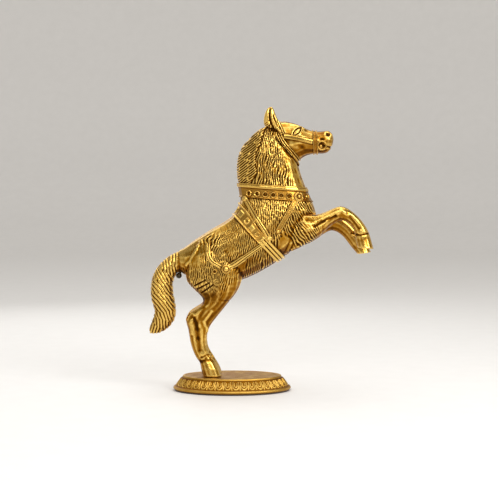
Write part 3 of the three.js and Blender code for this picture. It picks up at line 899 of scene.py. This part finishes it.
def band_walls(rows, columns, ring):
    """Faces that join the rim of a band's face to the rim of its back."""
    under = rows * columns
    walls = []
    start = np.arange(rows if ring else rows - 1) * columns
    for edge in (0, columns - 1):
        a = start + edge
        b = (start + columns) % under + edge
        walls.append(np.stack([a, b, b + under, a + under], axis=1))
    if not ring:
        for first in (0, under - columns):
            a = first + np.arange(columns - 1)
            walls.append(np.stack([a, a + 1, a + 1 + under, a + under], axis=1))
    return np.concatenate(walls)


class Build:
    """Several closed meshes gathered into one piece."""

    def __init__(self):
        self.vertices, self.faces, self.dark, self.count = [], [], [], 0

    def add(self, vertices, faces, dark):
        self.vertices.append(np.asarray(vertices, float))
        self.faces += [[self.count + v for v in face] for face in faces]
        self.dark.append(np.broadcast_to(dark, len(vertices)))
        self.count += len(vertices)

    def band(self, spots, normals, heights, dark, ring=False):
        """A closed band: its face stands above the spots and its back lies a little under them."""
        rows, columns = heights.shape
        top = (spots + normals * heights[..., None]).reshape(-1, 3)
        back = (spots - normals * BAND_SUNK).reshape(-1, 3)
        face = grid_faces(rows, columns, ring=ring)
        faces = np.concatenate([face, face + rows * columns, band_walls(rows, columns, ring)])
        self.add(np.concatenate([top, back]), faces.tolist(), np.append(dark.ravel(), np.full(dark.size, 0.8)))

    def turned(self, profile, spot, normal, around=28, wave=None):
        """A turned button on a spot: (radius, height, dark) stations from the middle out."""
        normal = Vector(normal).normalized()
        right = normal.orthogonal().normalized()
        up = normal.cross(right)
        vertices, dark, faces = [], [], []
        for radius, height, shade in profile:
            for step in range(around):
                angle = 2 * math.pi * step / around
                swell = wave(angle, radius) if wave else 0
                flat = Vector(spot) + radius * (math.cos(angle) * right + math.sin(angle) * up)
                vertices.append(tuple(flat + normal * (height + swell)))
                dark.append(shade)
        for first in range(0, around * (len(profile) - 1), around):
            for step in range(around):
                a, b = first + step, first + (step + 1) % around
                faces.append([a, a + around, b + around, b])
        faces += [list(range(around)), list(range(len(vertices) - around, len(vertices)))]
        self.add(vertices, faces, dark)

    def hoop_wire(self, centre, radius, wire, around=40, sides=10):
        """A round wire ring that hangs in the side view."""
        vertices = []
        for step in range(around):
            turn = 2 * math.pi * step / around
            out = np.array([math.cos(turn), 0, math.sin(turn)])
            for part in range(sides):
                angle = 2 * math.pi * part / sides
                rise = np.array([0, math.sin(angle), 0]) + out * math.cos(angle)
                vertices.append(np.asarray(centre) + out * radius + rise * wire)
        faces = []
        for step in range(around):
            for part in range(sides):
                a, b = step * sides, (step + 1) % around * sides
                faces.append([a + part, b + part, b + (part + 1) % sides, a + (part + 1) % sides])
        self.add(vertices, faces, 0.15)

    def piece(self, name, material, *nodes, slot="harness_gold"):
        piece = new_object(
            name,
            np.concatenate(self.vertices),
            self.faces,
            {"recess": np.concatenate(self.dark), "hollow": np.zeros(self.count)},
        )
        shape = bmesh.new()
        shape.from_mesh(piece.data)
        bmesh.ops.recalc_face_normals(shape, faces=shape.faces)
        shape.to_mesh(piece.data)
        shape.free()
        return kept(piece, material, slot, *nodes)


def smooth_line(points, step):
    """Points about `step` apart on a smooth curve through the given ones, and the way across at each."""
    points = np.asarray(points, float)
    padded = np.concatenate([[2 * points[0] - points[1]], points, [2 * points[-1] - points[-2]]])
    parts = []
    for a, b, c, d in zip(padded, padded[1:], padded[2:], padded[3:]):
        t = np.linspace(0, 1, max(2, int(math.dist(b, c) / step)), endpoint=False)[:, None]
        bend = (2 * a - 5 * b + 4 * c - d) * t**2 + (3 * b - a - 3 * c + d) * t**3
        parts.append(0.5 * (2 * b + (c - a) * t + bend))
    line = np.concatenate(parts + [points[-1:]])
    way = np.gradient(line, axis=0)
    way /= np.linalg.norm(way, axis=1, keepdims=True)
    return line, np.stack([-way[:, 1], way[:, 0]], axis=1)


def strap(build, points, width, side, profile, columns=23, step=0.6):
    """A strap on one side along points of the side view; its profile gives (height, dark)."""
    line, aside = smooth_line(points, step)
    across = np.linspace(-1, 1, columns)
    x = line[:, :1] + aside[:, :1] * across * width / 2
    h = line[:, 1:] + aside[:, 1:] * across * width / 2
    spots, normals = from_side(x, h, side)
    along = np.concatenate([[0], np.cumsum(np.hypot(*np.diff(line, axis=0).T))])[:, None]
    build.band(spots, normals, *profile(np.broadcast_to(across, x.shape), np.broadcast_to(along, x.shape)))


def hoop(build, top, bottom, reach, limits, profile, rows=420, columns=31, missing=0.0, sag=0.0):
    """A band round the form, in the plane across the side view between two points.

    `reach` is how far outside the middle the band looks for the form, `limits` gives the band's two edges
    in millimetres for a turn from the first point, `missing` is half the turn that is left open at the second
    point, and `sag` lets the band hang off its plane at the sides.
    """
    a, b = (np.array([x, 0.0, h + SOLE]) for x, h in (top, bottom))
    along = (a - b) / np.linalg.norm(a - b)
    across_way = np.array([-along[2], 0.0, along[0]])
    if across_way[2] < 0:
        across_way = -across_way
    turn = np.linspace(missing - math.pi, math.pi - missing, rows, endpoint=missing > 0)[:, None]
    across = np.broadcast_to(np.linspace(-1, 1, columns), (rows, columns))
    low, high = limits(np.abs(turn))
    offset = low + (across + 1) / 2 * (high - low) - sag * np.sin(turn) ** 2
    out = np.cos(turn)[..., None] * along + np.sin(turn)[..., None] * np.array([0.0, 1.0, 0.0])
    starts = (a + b) / 2 + offset[..., None] * across_way + reach * out
    spots, normals = landed(starts, np.broadcast_to(-out, starts.shape).copy())
    build.band(spots, normals, *profile(across, np.broadcast_to(turn, across.shape)), ring=missing == 0)


def straight(width):
    """Limits of a band that is as wide all round."""
    return lambda turn: (-width / 2 + 0 * turn, width / 2 + 0 * turn)


def grooved(places, groove=0.13, low=0.5, high=1.55):
    """A profile that is round across, with narrow dark grooves at places from -1 to 1, and painted shade along both
    edges.
    """

    def shape(across, along):
        cut = np.max([bell(across - place, groove) for place in places], axis=0)
        shoulder = np.sqrt(np.clip(1 - across**6, 0, 1))
        # The grooves hold patina; the dark along both edges is painted shade where the strap meets the skin.
        dark = np.clip(0.9 * cut + 0.5 * bell(np.abs(across) - 1, 0.08), 0, 1)
        return low + (high - low) * shoulder * (1 - 0.75 * cut), dark

    return shape


def plain_strap(across, along):
    """A strap with a round rim along both edges and a row of stitches along the middle."""
    rim = bell(np.abs(across) - 0.76, 0.2)
    stitch = bell(across, 0.16) * smoothstep(0.1, 0.6, np.sin(2 * np.pi * along / 2.0))
    height = 0.75 + 0.8 * rim + 0.25 * stitch
    return height, np.clip(0.4 * smoothstep(0.6, 0.2, rim) * (1 - 0.6 * stitch), 0, 1)


# ---- bridle ----
THROAT_FOOT, THROAT_TOP = (69.2, 225.5), (42, 265.2)
BIT_RING_RADIUS, BIT_WIRE = 4.4, 0.95
BIT_KNOB = [(0.01, 2.2, 0), (1.0, 2.1, 0), (1.8, 1.5, 0.2), (2.1, 0.2, 0.8), (2.1, -0.5, 0.9)]


def throat_latch_profile(across, turn):
    cords = np.max([bell(across - place, 0.25) for place in (-0.7, 0, 0.7)], axis=0)
    return 0.35 + 1.25 * cords, smoothstep(0.85, 0.35, cords)


def noseband_profile(across, turn):
    rim = np.maximum(bell(across - 0.72, 0.26), 0.8 * bell(across + 0.78, 0.22))
    return 0.5 + 1.05 * rim, 0.35 * smoothstep(0.7, 0.1, rim) + 0.1


def build_bridle(material):
    build = Build()
    hoop(
        build, THROAT_FOOT, THROAT_TOP, 34, straight(5.8), throat_latch_profile,
        rows=360, missing=0.86, sag=2.6,
    )
    build.piece("throat_latch_cords", material, "throat_latch")
    build = Build()
    hoop(build, (86, 256.2), (87.5, 232.8), 17, straight(5.0), noseband_profile, rows=260)
    build.piece("noseband_ridged", material, "noseband")
    for name, side in SIDES.items():
        build = Build()
        strap(build, [(54.3, 250.6), (69, 248), (83.6, 244.6)], 4.6, side, grooved((0,), 0.0001, 0.5, 1.2))
        build.piece(f"{name}_cheek_strap_rounded", material, f"{name}_cheek_strap")
        low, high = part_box(f"{name}_bit_ring")
        build = Build()
        build.hoop_wire((low + high) / 2 / MM, BIT_RING_RADIUS, BIT_WIRE)
        spot, normal = from_side(92.4, 240.4, side)
        build.turned(BIT_KNOB, spot, normal, 18)
        build.piece(f"{name}_bit_ring_wire", material, f"{name}_bit_ring")


# ---- collar ----
COLLAR_TOP, COLLAR_FOOT = (7.4, 195), (80.7, 189.5)
COLLAR_WIDTH = 14.5
COLLAR_RING = [
    (0.01, 0.9, 0.5), (0.6, 0.8, 0.8), (1.0, 0.55, 0.9), (1.5, 0.6, 0.9), (1.9, 1.6, 0.3),
    (2.7, 2.15, 0.0), (3.3, 1.6, 0.1), (3.7, 0.6, 0.9), (3.7, -0.6, 1.0),
]
COLLAR_BOSS = [
    (0.01, 4.1, 0), (1.0, 4.0, 0), (1.8, 3.3, 0.3), (2.2, 2.4, 0.95), (3.2, 2.8, 0.3),
    (4.4, 2.6, 0), (5.3, 1.7, 0.2), (5.6, 0.4, 0.7), (5.6, -0.8, 1),
]
SMALL_BOSS = [
    (0.01, 2.7, 0), (1.2, 2.5, 0.1), (1.8, 1.8, 0.8), (2.3, 1.7, 0.9), (3.0, 2.0, 0.2),
    (3.5, 1.1, 0.4), (3.6, -0.6, 1),
]


def collar_profile(across, turn):
    """A broad round rib along the top, a plain strip for the rings and a thin lower edge."""
    rib = smoothstep(0.36, 0.46, across) * (0.7 + 0.3 * np.cos((across - 0.7) * 5))
    groove = bell(across - 0.86, 0.05)
    rim = smoothstep(-0.78, -0.9, across)
    height = 0.55 + 1.05 * rib + 0.8 * rim - 0.3 * groove
    shade = 0.36 * smoothstep(0.5, 0.3, across) * (1 - rim) + 0.6 * bell(across - 0.36, 0.07) + 0.5 * groove
    return height, np.clip(shade + 0.7 * bell(across + 0.98, 0.06), 0, 1)


def petal_wave(angle, radius):
    """Six petals around a boss."""
    return 0.45 * math.cos(6 * angle) * min(1, max(0, radius - 2) / 2) * (radius < 5.5)


def build_collar(material):
    build = Build()
    hoop(build, COLLAR_TOP, COLLAR_FOOT, 45, straight(COLLAR_WIDTH), collar_profile, rows=520)
    spacing = bpy.context.scene.statuette_sizes.ring_spacing / MM
    for side in SIDES.values():
        for x in np.arange(18.3, 62, spacing):
            share = (x - COLLAR_TOP[0]) / (COLLAR_FOOT[0] - COLLAR_TOP[0])
            h = COLLAR_TOP[1] + share * (COLLAR_FOOT[1] - COLLAR_TOP[1]) - 0.19 * COLLAR_WIDTH
            build.turned(COLLAR_RING, *from_side(x, h, side))
    build.piece("breast_collar_ringed", material, "breast_collar")
    for name, side in SIDES.items():
        build = Build()
        build.turned(COLLAR_BOSS, *from_side(69.0, 187.6, side), 48, petal_wave)
        build.turned(SMALL_BOSS, *from_side(76.8, 187.4, side))
        build.piece(f"{name}_collar_boss_flowered", material, f"{name}_collar_boss")


# ---- girth and straps ----
def girth_limits(turn):
    """The girth is wider over the back, under the withers strap."""
    return -5.2 + 0 * turn, 5.3 + 3.6 * smoothstep(1.45, 0.5, turn)


def girth_profile(across, turn):
    """Framed ornaments over the shoulder, and three plain ridges below the crossing of the straps."""
    turn = np.abs(turn)
    three = 1 - np.max([bell(across - place, 0.09) for place in (-0.36, 0.3)], axis=0)
    three = three * np.sqrt(np.clip(1 - across**6, 0, 1))
    rims = bell(np.abs(across) - 0.88, 0.12)
    cell = (turn - 0.30) / 0.34
    part = cell - np.floor(cell) - 0.5
    square = np.maximum(np.abs(part) * 2.2, np.abs(across) * 1.5)
    moon = np.hypot(part * 2.3, across * 1.45)
    crescent = bell(moon - 0.62, 0.17) * smoothstep(-0.35, 0.1, part * 2 + 0.3)
    ornament = np.where(np.floor(cell) % 2 == 1, crescent, 0.8 * smoothstep(0.86, 0.5, square))
    rise = np.maximum(rims, ornament)
    low = smoothstep(1.72, 1.86, turn)
    shade = 0.36 * smoothstep(0.5, 0.1, rise) * (1 - low) + smoothstep(0.75, 0.3, three) * low
    return 0.45 + 1.15 * (rise * (1 - low) + three * low), np.clip(shade, 0, 1)


TRACE_ROSE = [
    (0.01, 3.9, 0), (1.2, 3.8, 0), (2.2, 3.2, 0.1), (2.9, 2.2, 0.7), (3.6, 2.2, 0.3),
    (4.3, 2.0, 0), (4.8, 1.2, 0.4), (5.0, -0.6, 1),
]
CURL = [(0.01, 0.4, 0.9), (1.0, 0.3, 1), (1.5, 1.0, 0.4), (2.2, 1.4, 0), (2.8, 0.9, 0.4), (3.0, -0.4, 1)]
KNOT = [(0.01, 3.0, 0), (1.4, 2.9, 0), (2.4, 2.3, 0.1), (3.1, 1.4, 0.3), (3.4, -0.5, 0.9)]
BUCKLE = [(0.01, 2.5, 0), (1.5, 2.4, 0), (2.2, 1.9, 0.6), (2.7, 2.0, 0.3), (3.2, 1.2, 0.3), (3.3, -0.5, 1)]


def knot_wave(angle, radius):
    """Two turns of a strap over the knot."""
    return 0.5 * math.cos(2 * angle + 0.8) * min(1, radius / 2) * (radius < 3.2)


def build_girth_and_straps(material):
    build = Build()
    hoop(build, (4, 173), (51.2, 122), 45, girth_limits, girth_profile, rows=520, columns=41)
    build.piece("girth_ornamented", material, "girth")
    two = grooved((0.1,), 0.16)
    for name, side in SIDES.items():
        build = Build()
        strap(build, [(14.2, 185.6), (26, 165), (38.2, 146.2)], 4.8, side, two)
        build.turned(KNOT[1:], *from_side(14.2, 185.4, side), 20)
        build.piece(f"{name}_withers_strap_ridged", material, f"{name}_withers_strap")
        build = Build()
        strap(build, [(66.2, 184.0), (56.5, 167.5), (46.2, 149.6)], 5.6, side, plain_strap)
        build.turned(BUCKLE, *from_side(47.6, 152.0, side), 4)
        build.piece(f"{name}_shoulder_strap_stitched", material, f"{name}_shoulder_strap")
        build = Build()
        strap(build, [(34.4, 140.2), (23, 132.2), (11.0, 123.8)], 5.0, side, grooved((-0.4, 0.45), 0.1))
        strap(build, [(12.6, 125.0), (5, 119.8), (-3.4, 114.6)], 6.4, side, grooved((-0.4, 0.4), 0.09, 0.8, 2.1))
        build.turned(KNOT, *from_side(38.8, 144.8, side), 24, knot_wave)
        build.piece(f"{name}_trace_strap_grooved", material, f"{name}_trace_strap")
        build = Build()
        strap(build, [(-24.6, 139), (-24.4, 128.5), (-20.4, 120.6), (-11.8, 115.4)], 4.4, side, two)
        build.turned(CURL, *from_side(-17.8, 110.6, side), 20)
        build.piece(f"{name}_hip_strap_ridged", material, f"{name}_hip_strap")
        build = Build()
        build.turned(TRACE_ROSE, *from_side(-6.0, 113.0, side), 32)
        build.piece(f"{name}_rosette_turned", material, f"{name}_rosette")


# ---- plinth ----
PLINTH_SIDE = [
    # The edge from the rim of the top to the foot: (inset, height) as parts of the flare and the rise.
    (1.20, 0.985, 0.3), (1.15, 1.0, 0.15), (1.01, 0.998, 0.1), (0.95, 0.965, 0.1), (0.94, 0.89, 0.3),
    (0.87, 0.85, 0.8), (0.80, 0.82, 0.7), (0.24, 0.26, 0.7), (0.16, 0.23, 0.5), (0.05, 0.2, 0.15),
    (0.0, 0.13, 0.1), (0.0, 0.06, 0.3), (0.08, 0.0, 0.6),
]
PETAL_TOP, PETAL_FOOT = 6, 7  # the stations between which the petals stand
AROUND = 1080
FLARE, WALL, TOP_PLATE = 10.5, 3.2, 4.0  # how far the foot stands out, and the metal's thickness


def petals(place, share):
    """Upright leaves: (height, dark) for a place counted in leaves and a share of the way down the slope."""
    part = place - np.floor(place) - 0.5
    up = 1 - share
    bowl = np.hypot(part * 1.95, np.minimum(up - 0.5, 0) * 1.75)
    outline = bell(bowl - 0.68, 0.14)
    inner = bell(np.hypot(part * 1.95, np.minimum(up - 0.55, 0) * 1.9) - 0.3, 0.13) * smoothstep(0.95, 0.8, up)
    between = bell(np.abs(part) - 0.5, 0.08) * smoothstep(0.75, 0.45, up)
    rise = np.max([outline, 0.75 * inner, 0.8 * between], axis=0)
    fade = smoothstep(0, 0.06, share) * smoothstep(1, 0.94, share)
    return (0.8 * rise - 0.3) * fade, 0.62 * smoothstep(0.55, 0.05, rise) * fade + 0.25 * (1 - fade)


def build_plinth(material):
    low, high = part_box("plinth")
    length, depth, foot, top = high.x / MM, high.y / MM, low.z / MM, high.z / MM
    angle = 2 * np.pi * np.arange(AROUND) / AROUND
    steps = np.hypot(np.diff(length * np.cos(angle)), np.diff(depth * np.sin(angle)))
    walked = np.concatenate([[0], np.cumsum(steps)])
    place = walked / (walked[-1] + steps[0]) * bpy.context.scene.statuette_sizes.petals
    rings, shades = [], []

    def ring(inset, height, dark, lift=0.0):
        x = (length - inset + 0.7 * lift) * np.cos(angle)
        y = (depth - inset + 0.7 * lift) * np.sin(angle)
        rings.append(np.stack([x, y, height + 0.6 * lift + 0 * x], axis=1))
        shades.append(np.broadcast_to(dark, AROUND))

    for inset in np.linspace(depth - 3, FLARE * 1.26, 30):
        x, y = (length - inset) * np.cos(angle), (depth - inset) * np.sin(angle)
        coarse, fine = lattice_noise(x / 5, y / 5, 0 * x, 92), lattice_noise(x / 1.3, y / 1.3, 0 * x, 91)
        settled = 0.0 if inset > depth - 4 else 1.0
        ring(inset, top - 0.36 + settled * (0.07 * fine + 0.05 * coarse), 0.3 + 0.15 * coarse)
    for index, (inset, height, dark) in enumerate(PLINTH_SIDE):
        ring(inset * FLARE, foot + height * (top - foot), dark)
        if index == PETAL_TOP:
            far = PLINTH_SIDE[PETAL_FOOT]
            for share in np.linspace(0, 1, 26)[1:-1]:
                lift, shade = petals(place, share)
                middle = [a + share * (b - a) for a, b in zip((inset, height), far)]
                ring(middle[0] * FLARE, foot + middle[1] * (top - foot), shade, lift)
    plate = top - TOP_PLATE
    hollow = [(WALL + 1, foot), (WALL + 1, foot + 2.9), (FLARE + WALL, plate), (depth - 3, plate)]
    for inset, height in hollow:
        ring(inset, height, 0.6)
    vertices = np.concatenate(rings)
    faces = []
    for first in range(0, len(vertices) - AROUND, AROUND):
        a = first + np.arange(AROUND)
        b = first + (np.arange(AROUND) + 1) % AROUND
        faces += np.stack([a, a + AROUND, b + AROUND, b], axis=1).tolist()
    faces += [list(range(AROUND)), list(range(len(vertices) - AROUND, len(vertices)))]
    build = Build()
    build.add(vertices, faces, np.concatenate(shades))
    build.piece("plinth_chased", material, "plinth", slot="plinth_gold")


# ---- the studio, in metres ----
MIDDLE = (0.03, 0, 0.17)
LAMPS = {
    # Each lamp: its place, what it points at, its width and its height.
    "ceiling": ((0, 0, 3.2), (0, 0.001, 0), 4.0, 4.0),
    "key": ((0.75, -0.75, 0.75), MIDDLE, 0.5, 0.5),
    "fill": ((-0.95, -0.75, 0.35), MIDDLE, 0.7, 0.9),
    "top": ((0.1, 0.15, 1.1), MIDDLE, 0.9, 0.6),
    "front": ((0.1, -1.25, 0.95), MIDDLE, 0.9, 0.5),
    "back": ((-0.3, 0.7, 0.6), MIDDLE, 0.8, 0.8),
}
LENS, SENSOR_WIDTH = 95.26, 36.0  # millimetres
CAMERA_PLACE, CAMERA_TILT = (0.01786, -1.398, 0.2196), 87.0
# The floor and its wall as rings of (radius, rise) in millimetres.
FLOOR_RINGS = [(600, 0), (1800, 0), (2600, 0), (3000, 70), (3300, 260), (3480, 600), (3560, 1100), (3600, 2300)]


def lamp(name, place, aim, width, height, power):
    light = bpy.data.lights.new(name, "AREA")
    light.shape = "RECTANGLE"
    light.size, light.size_y = width, height
    light.energy = power
    holder = bpy.data.objects.new(name, light)
    holder.location = place
    holder.rotation_euler = (Vector(aim) - Vector(place)).to_track_quat("-Z", "Y").to_euler()
    bpy.context.scene.collection.objects.link(holder)


def build_floor():
    """A wide round pale floor that sweeps up into a wall far outside every view's camera."""
    around = 96
    vertices = [(0, 0, 0)]
    for radius, rise in FLOOR_RINGS:
        turns = [2 * math.pi * step / around for step in range(around)]
        vertices += [(radius * math.cos(turn), radius * math.sin(turn), rise) for turn in turns]
    faces = [(0, 1 + step, 1 + (step + 1) % around) for step in range(around)]
    for first in range(1, 1 + around * (len(FLOOR_RINGS) - 1), around):
        for step in range(around):
            a, b = first + step, first + (step + 1) % around
            faces.append((a, a + around, b + around, b))
    floor = new_object("floor", vertices, faces)
    paper = Finish("pale paper")
    fleck = paper.noise(40, 3, 0.5)
    base = paper.mix(fleck, (0.82, 0.805, 0.785, 1), (0.87, 0.855, 0.835, 1))
    floor.data.materials.append(paper.finish(Base_Color=base, Roughness=0.6))
    floor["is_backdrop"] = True


def build_studio():
    """The floor, a dim even sky, soft lamps and the camera."""
    build_floor()
    scene = bpy.context.scene
    studio = scene.statuette_studio
    scene.world = scene.world or bpy.data.worlds.new("studio")
    scene.world.use_nodes = True
    background = next(node for node in scene.world.node_tree.nodes if node.type == "BACKGROUND")
    background.inputs["Color"].default_value = (1.0, 0.95, 0.87, 1)
    background.inputs["Strength"].default_value = studio.sky
    for name, (place, aim, width, height) in LAMPS.items():
        lamp(name, place, aim, width, height, getattr(studio, name))
    lens = bpy.data.cameras.new("camera")
    lens.lens = LENS
    lens.sensor_width = SENSOR_WIDTH
    camera = bpy.data.objects.new("camera", lens)
    camera.location = CAMERA_PLACE
    camera.rotation_euler = (math.radians(CAMERA_TILT), 0, 0)
    scene.collection.objects.link(camera)
    scene.camera = camera
    scene.view_settings.view_transform = "Standard"


# ---- the add-on ----
class StatuetteSizes(bpy.types.PropertyGroup):
    """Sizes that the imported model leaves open."""

    grain: bpy.props.FloatProperty(
        name="Grain", description="Edge length of the faces that the casting's skin is made of",
        default=0.00055, min=0.0004, unit="LENGTH", precision=5,
    )
    cut_depth: bpy.props.FloatProperty(
        name="Cut depth", description="Depth of the chased coat, mane and tail, 1 as designed",
        default=1.0, min=0.0, max=1.5, subtype="FACTOR",
    )
    ring_spacing: bpy.props.FloatProperty(
        name="Ring spacing", description="Distance between the rings along the breast collar",
        default=0.0082, min=0.0072, unit="LENGTH", precision=4,
    )
    petals: bpy.props.IntProperty(
        name="Petals", description="Number of leaves round the plinth's slope", default=36, min=12, max=72,
    )


def tint(name, description, default):
    return bpy.props.FloatVectorProperty(
        name=name, description=description, default=default, size=3, subtype="COLOR", min=0.0, max=1.0
    )


class StatuetteFinish(bpy.types.PropertyGroup):
    """Colours of the finishes."""

    gold: tint("Gold", "Polished gold between the high places and the recesses", (0.40, 0.182, 0.0095))
    bright: tint("Rubbed gold", "Gold on the high places, rubbed bright", (0.82, 0.53, 0.125))
    brown: tint("Brown", "Thin patina at the edge of the recesses", (0.24, 0.085, 0.004))
    patina: tint("Patina", "Thick patina at the bottom of the recesses", (0.06, 0.02, 0.0015))
    zinc: tint("Zinc", "Plated screws and washers", (0.66, 0.67, 0.68))
    black: tint("Blackened steel", "The screw under the tail", (0.10, 0.08, 0.05))
    felt: tint("Felt", "The pad under the plinth", (0.05, 0.042, 0.035))


def strength(name, description, default):
    return bpy.props.FloatProperty(name=name, description=description, default=default, min=0.0)


class StatuetteStudio(bpy.types.PropertyGroup):
    """Strength of the lights: lamps in watts, the sky as a factor."""

    key: strength("Key lamp", "Power of the lamp at the front right", 5.8)
    fill: strength("Fill lamp", "Power of the lamp at the front left", 0.5)
    top: strength("Top lamp", "Power of the lamp overhead", 2.0)
    ceiling: strength("Ceiling", "Power of the wide panel that lights the floor and the wall", 60.0)
    front: strength("Front lamp", "Power of the lamp over the camera", 5.0)
    back: strength("Back lamp", "Power of the lamp behind", 1.5)
    sky: strength("Sky", "Brightness of the even surroundings", 0.28)


class STATUETTE_OT_casting(bpy.types.Operator):
    """Model the shells, the legs and the tail with their chased coat"""

    bl_idname = "statuette.casting"
    bl_label = "Casting"

    def execute(self, context):
        build_casting(gold("antique gold"))
        return {"FINISHED"}


class STATUETTE_OT_bridle(bpy.types.Operator):
    """Model the throat latch, the noseband, the cheek straps and the bit rings"""

    bl_idname = "statuette.bridle"
    bl_label = "Bridle"

    def execute(self, context):
        build_bridle(gold("bridle gold", 0.95, 0.22, polish=0.5))
        return {"FINISHED"}


class STATUETTE_OT_collar(bpy.types.Operator):
    """Model the breast collar with its rings and bosses"""

    bl_idname = "statuette.collar"
    bl_label = "Breast Collar"

    def execute(self, context):
        build_collar(gold("collar gold", 0.95, 0.22, polish=0.6))
        return {"FINISHED"}


class STATUETTE_OT_girth(bpy.types.Operator):
    """Model the girth, the straps on both sides and the rosettes"""

    bl_idname = "statuette.girth"
    bl_label = "Girth and Straps"

    def execute(self, context):
        build_girth_and_straps(gold("strap gold", 0.95, 0.22, polish=0.75))
        return {"FINISHED"}


class STATUETTE_OT_plinth(bpy.types.Operator):
    """Model the oval plinth with its leaves"""

    bl_idname = "statuette.plinth"
    bl_label = "Plinth"

    def execute(self, context):
        build_plinth(gold("plinth gold", 0.85, 0.36, 0.25, polish=0.45))
        return {"FINISHED"}


class STATUETTE_OT_fixings(bpy.types.Operator):
    """Give the screws, the washers and the felt pad their finishes"""

    bl_idname = "statuette.fixings"
    bl_label = "Screws and Felt"

    def execute(self, context):
        looks = context.scene.statuette_finish
        finishes = {
            "zinc_steel": steel("zinc plate", tuple(looks.zinc), 0.35, 0.36),
            "black_steel": steel("blackened steel", tuple(looks.black), 0.5, 0.45),
            "felt": felt("pressed felt", tuple(looks.felt)),
        }
        for part in frame["record"]["subparts"]:
            if part["material_slot"] in finishes:
                mesh = frame["nodes"][part["node"]].data
                mesh.materials.clear()
                mesh.materials.append(finishes[part["material_slot"]])
        return {"FINISHED"}


class STATUETTE_OT_studio(bpy.types.Operator):
    """Set up the pale floor, the soft lamps and the camera"""

    bl_idname = "statuette.studio"
    bl_label = "Studio"

    def execute(self, context):
        build_studio()
        return {"FINISHED"}


OPERATORS = (
    STATUETTE_OT_casting,
    STATUETTE_OT_bridle,
    STATUETTE_OT_collar,
    STATUETTE_OT_girth,
    STATUETTE_OT_plinth,
    STATUETTE_OT_fixings,
    STATUETTE_OT_studio,
)
GROUPS = {
    "statuette_sizes": StatuetteSizes,
    "statuette_finish": StatuetteFinish,
    "statuette_studio": StatuetteStudio,
}


class STATUETTE_PT_panel(bpy.types.Panel):
    """Sizes, finishes and the builders of the pieces"""

    bl_label = "Rearing Horse Statuette"
    bl_space_type = "VIEW_3D"
    bl_region_type = "UI"
    bl_category = "Statuette"

    def draw(self, context):
        for key, group in GROUPS.items():
            box = self.layout.box()
            for name in group.__annotations__:
                box.prop(getattr(context.scene, key), name)
        for operator in OPERATORS:
            self.layout.operator(operator.bl_idname)


def register():
    for each in (*GROUPS.values(), *OPERATORS, STATUETTE_PT_panel):
        bpy.utils.register_class(each)
    for key, group in GROUPS.items():
        setattr(bpy.types.Scene, key, bpy.props.PointerProperty(type=group))


def unregister():
    for key in GROUPS:
        delattr(bpy.types.Scene, key)
    for each in reversed((*GROUPS.values(), *OPERATORS, STATUETTE_PT_panel)):
        bpy.utils.unregister_class(each)


def main():
    register()
    for operator in OPERATORS:
        getattr(bpy.ops.statuette, operator.bl_idname.split(".")[1])()


if __name__ == "__main__":
    main()
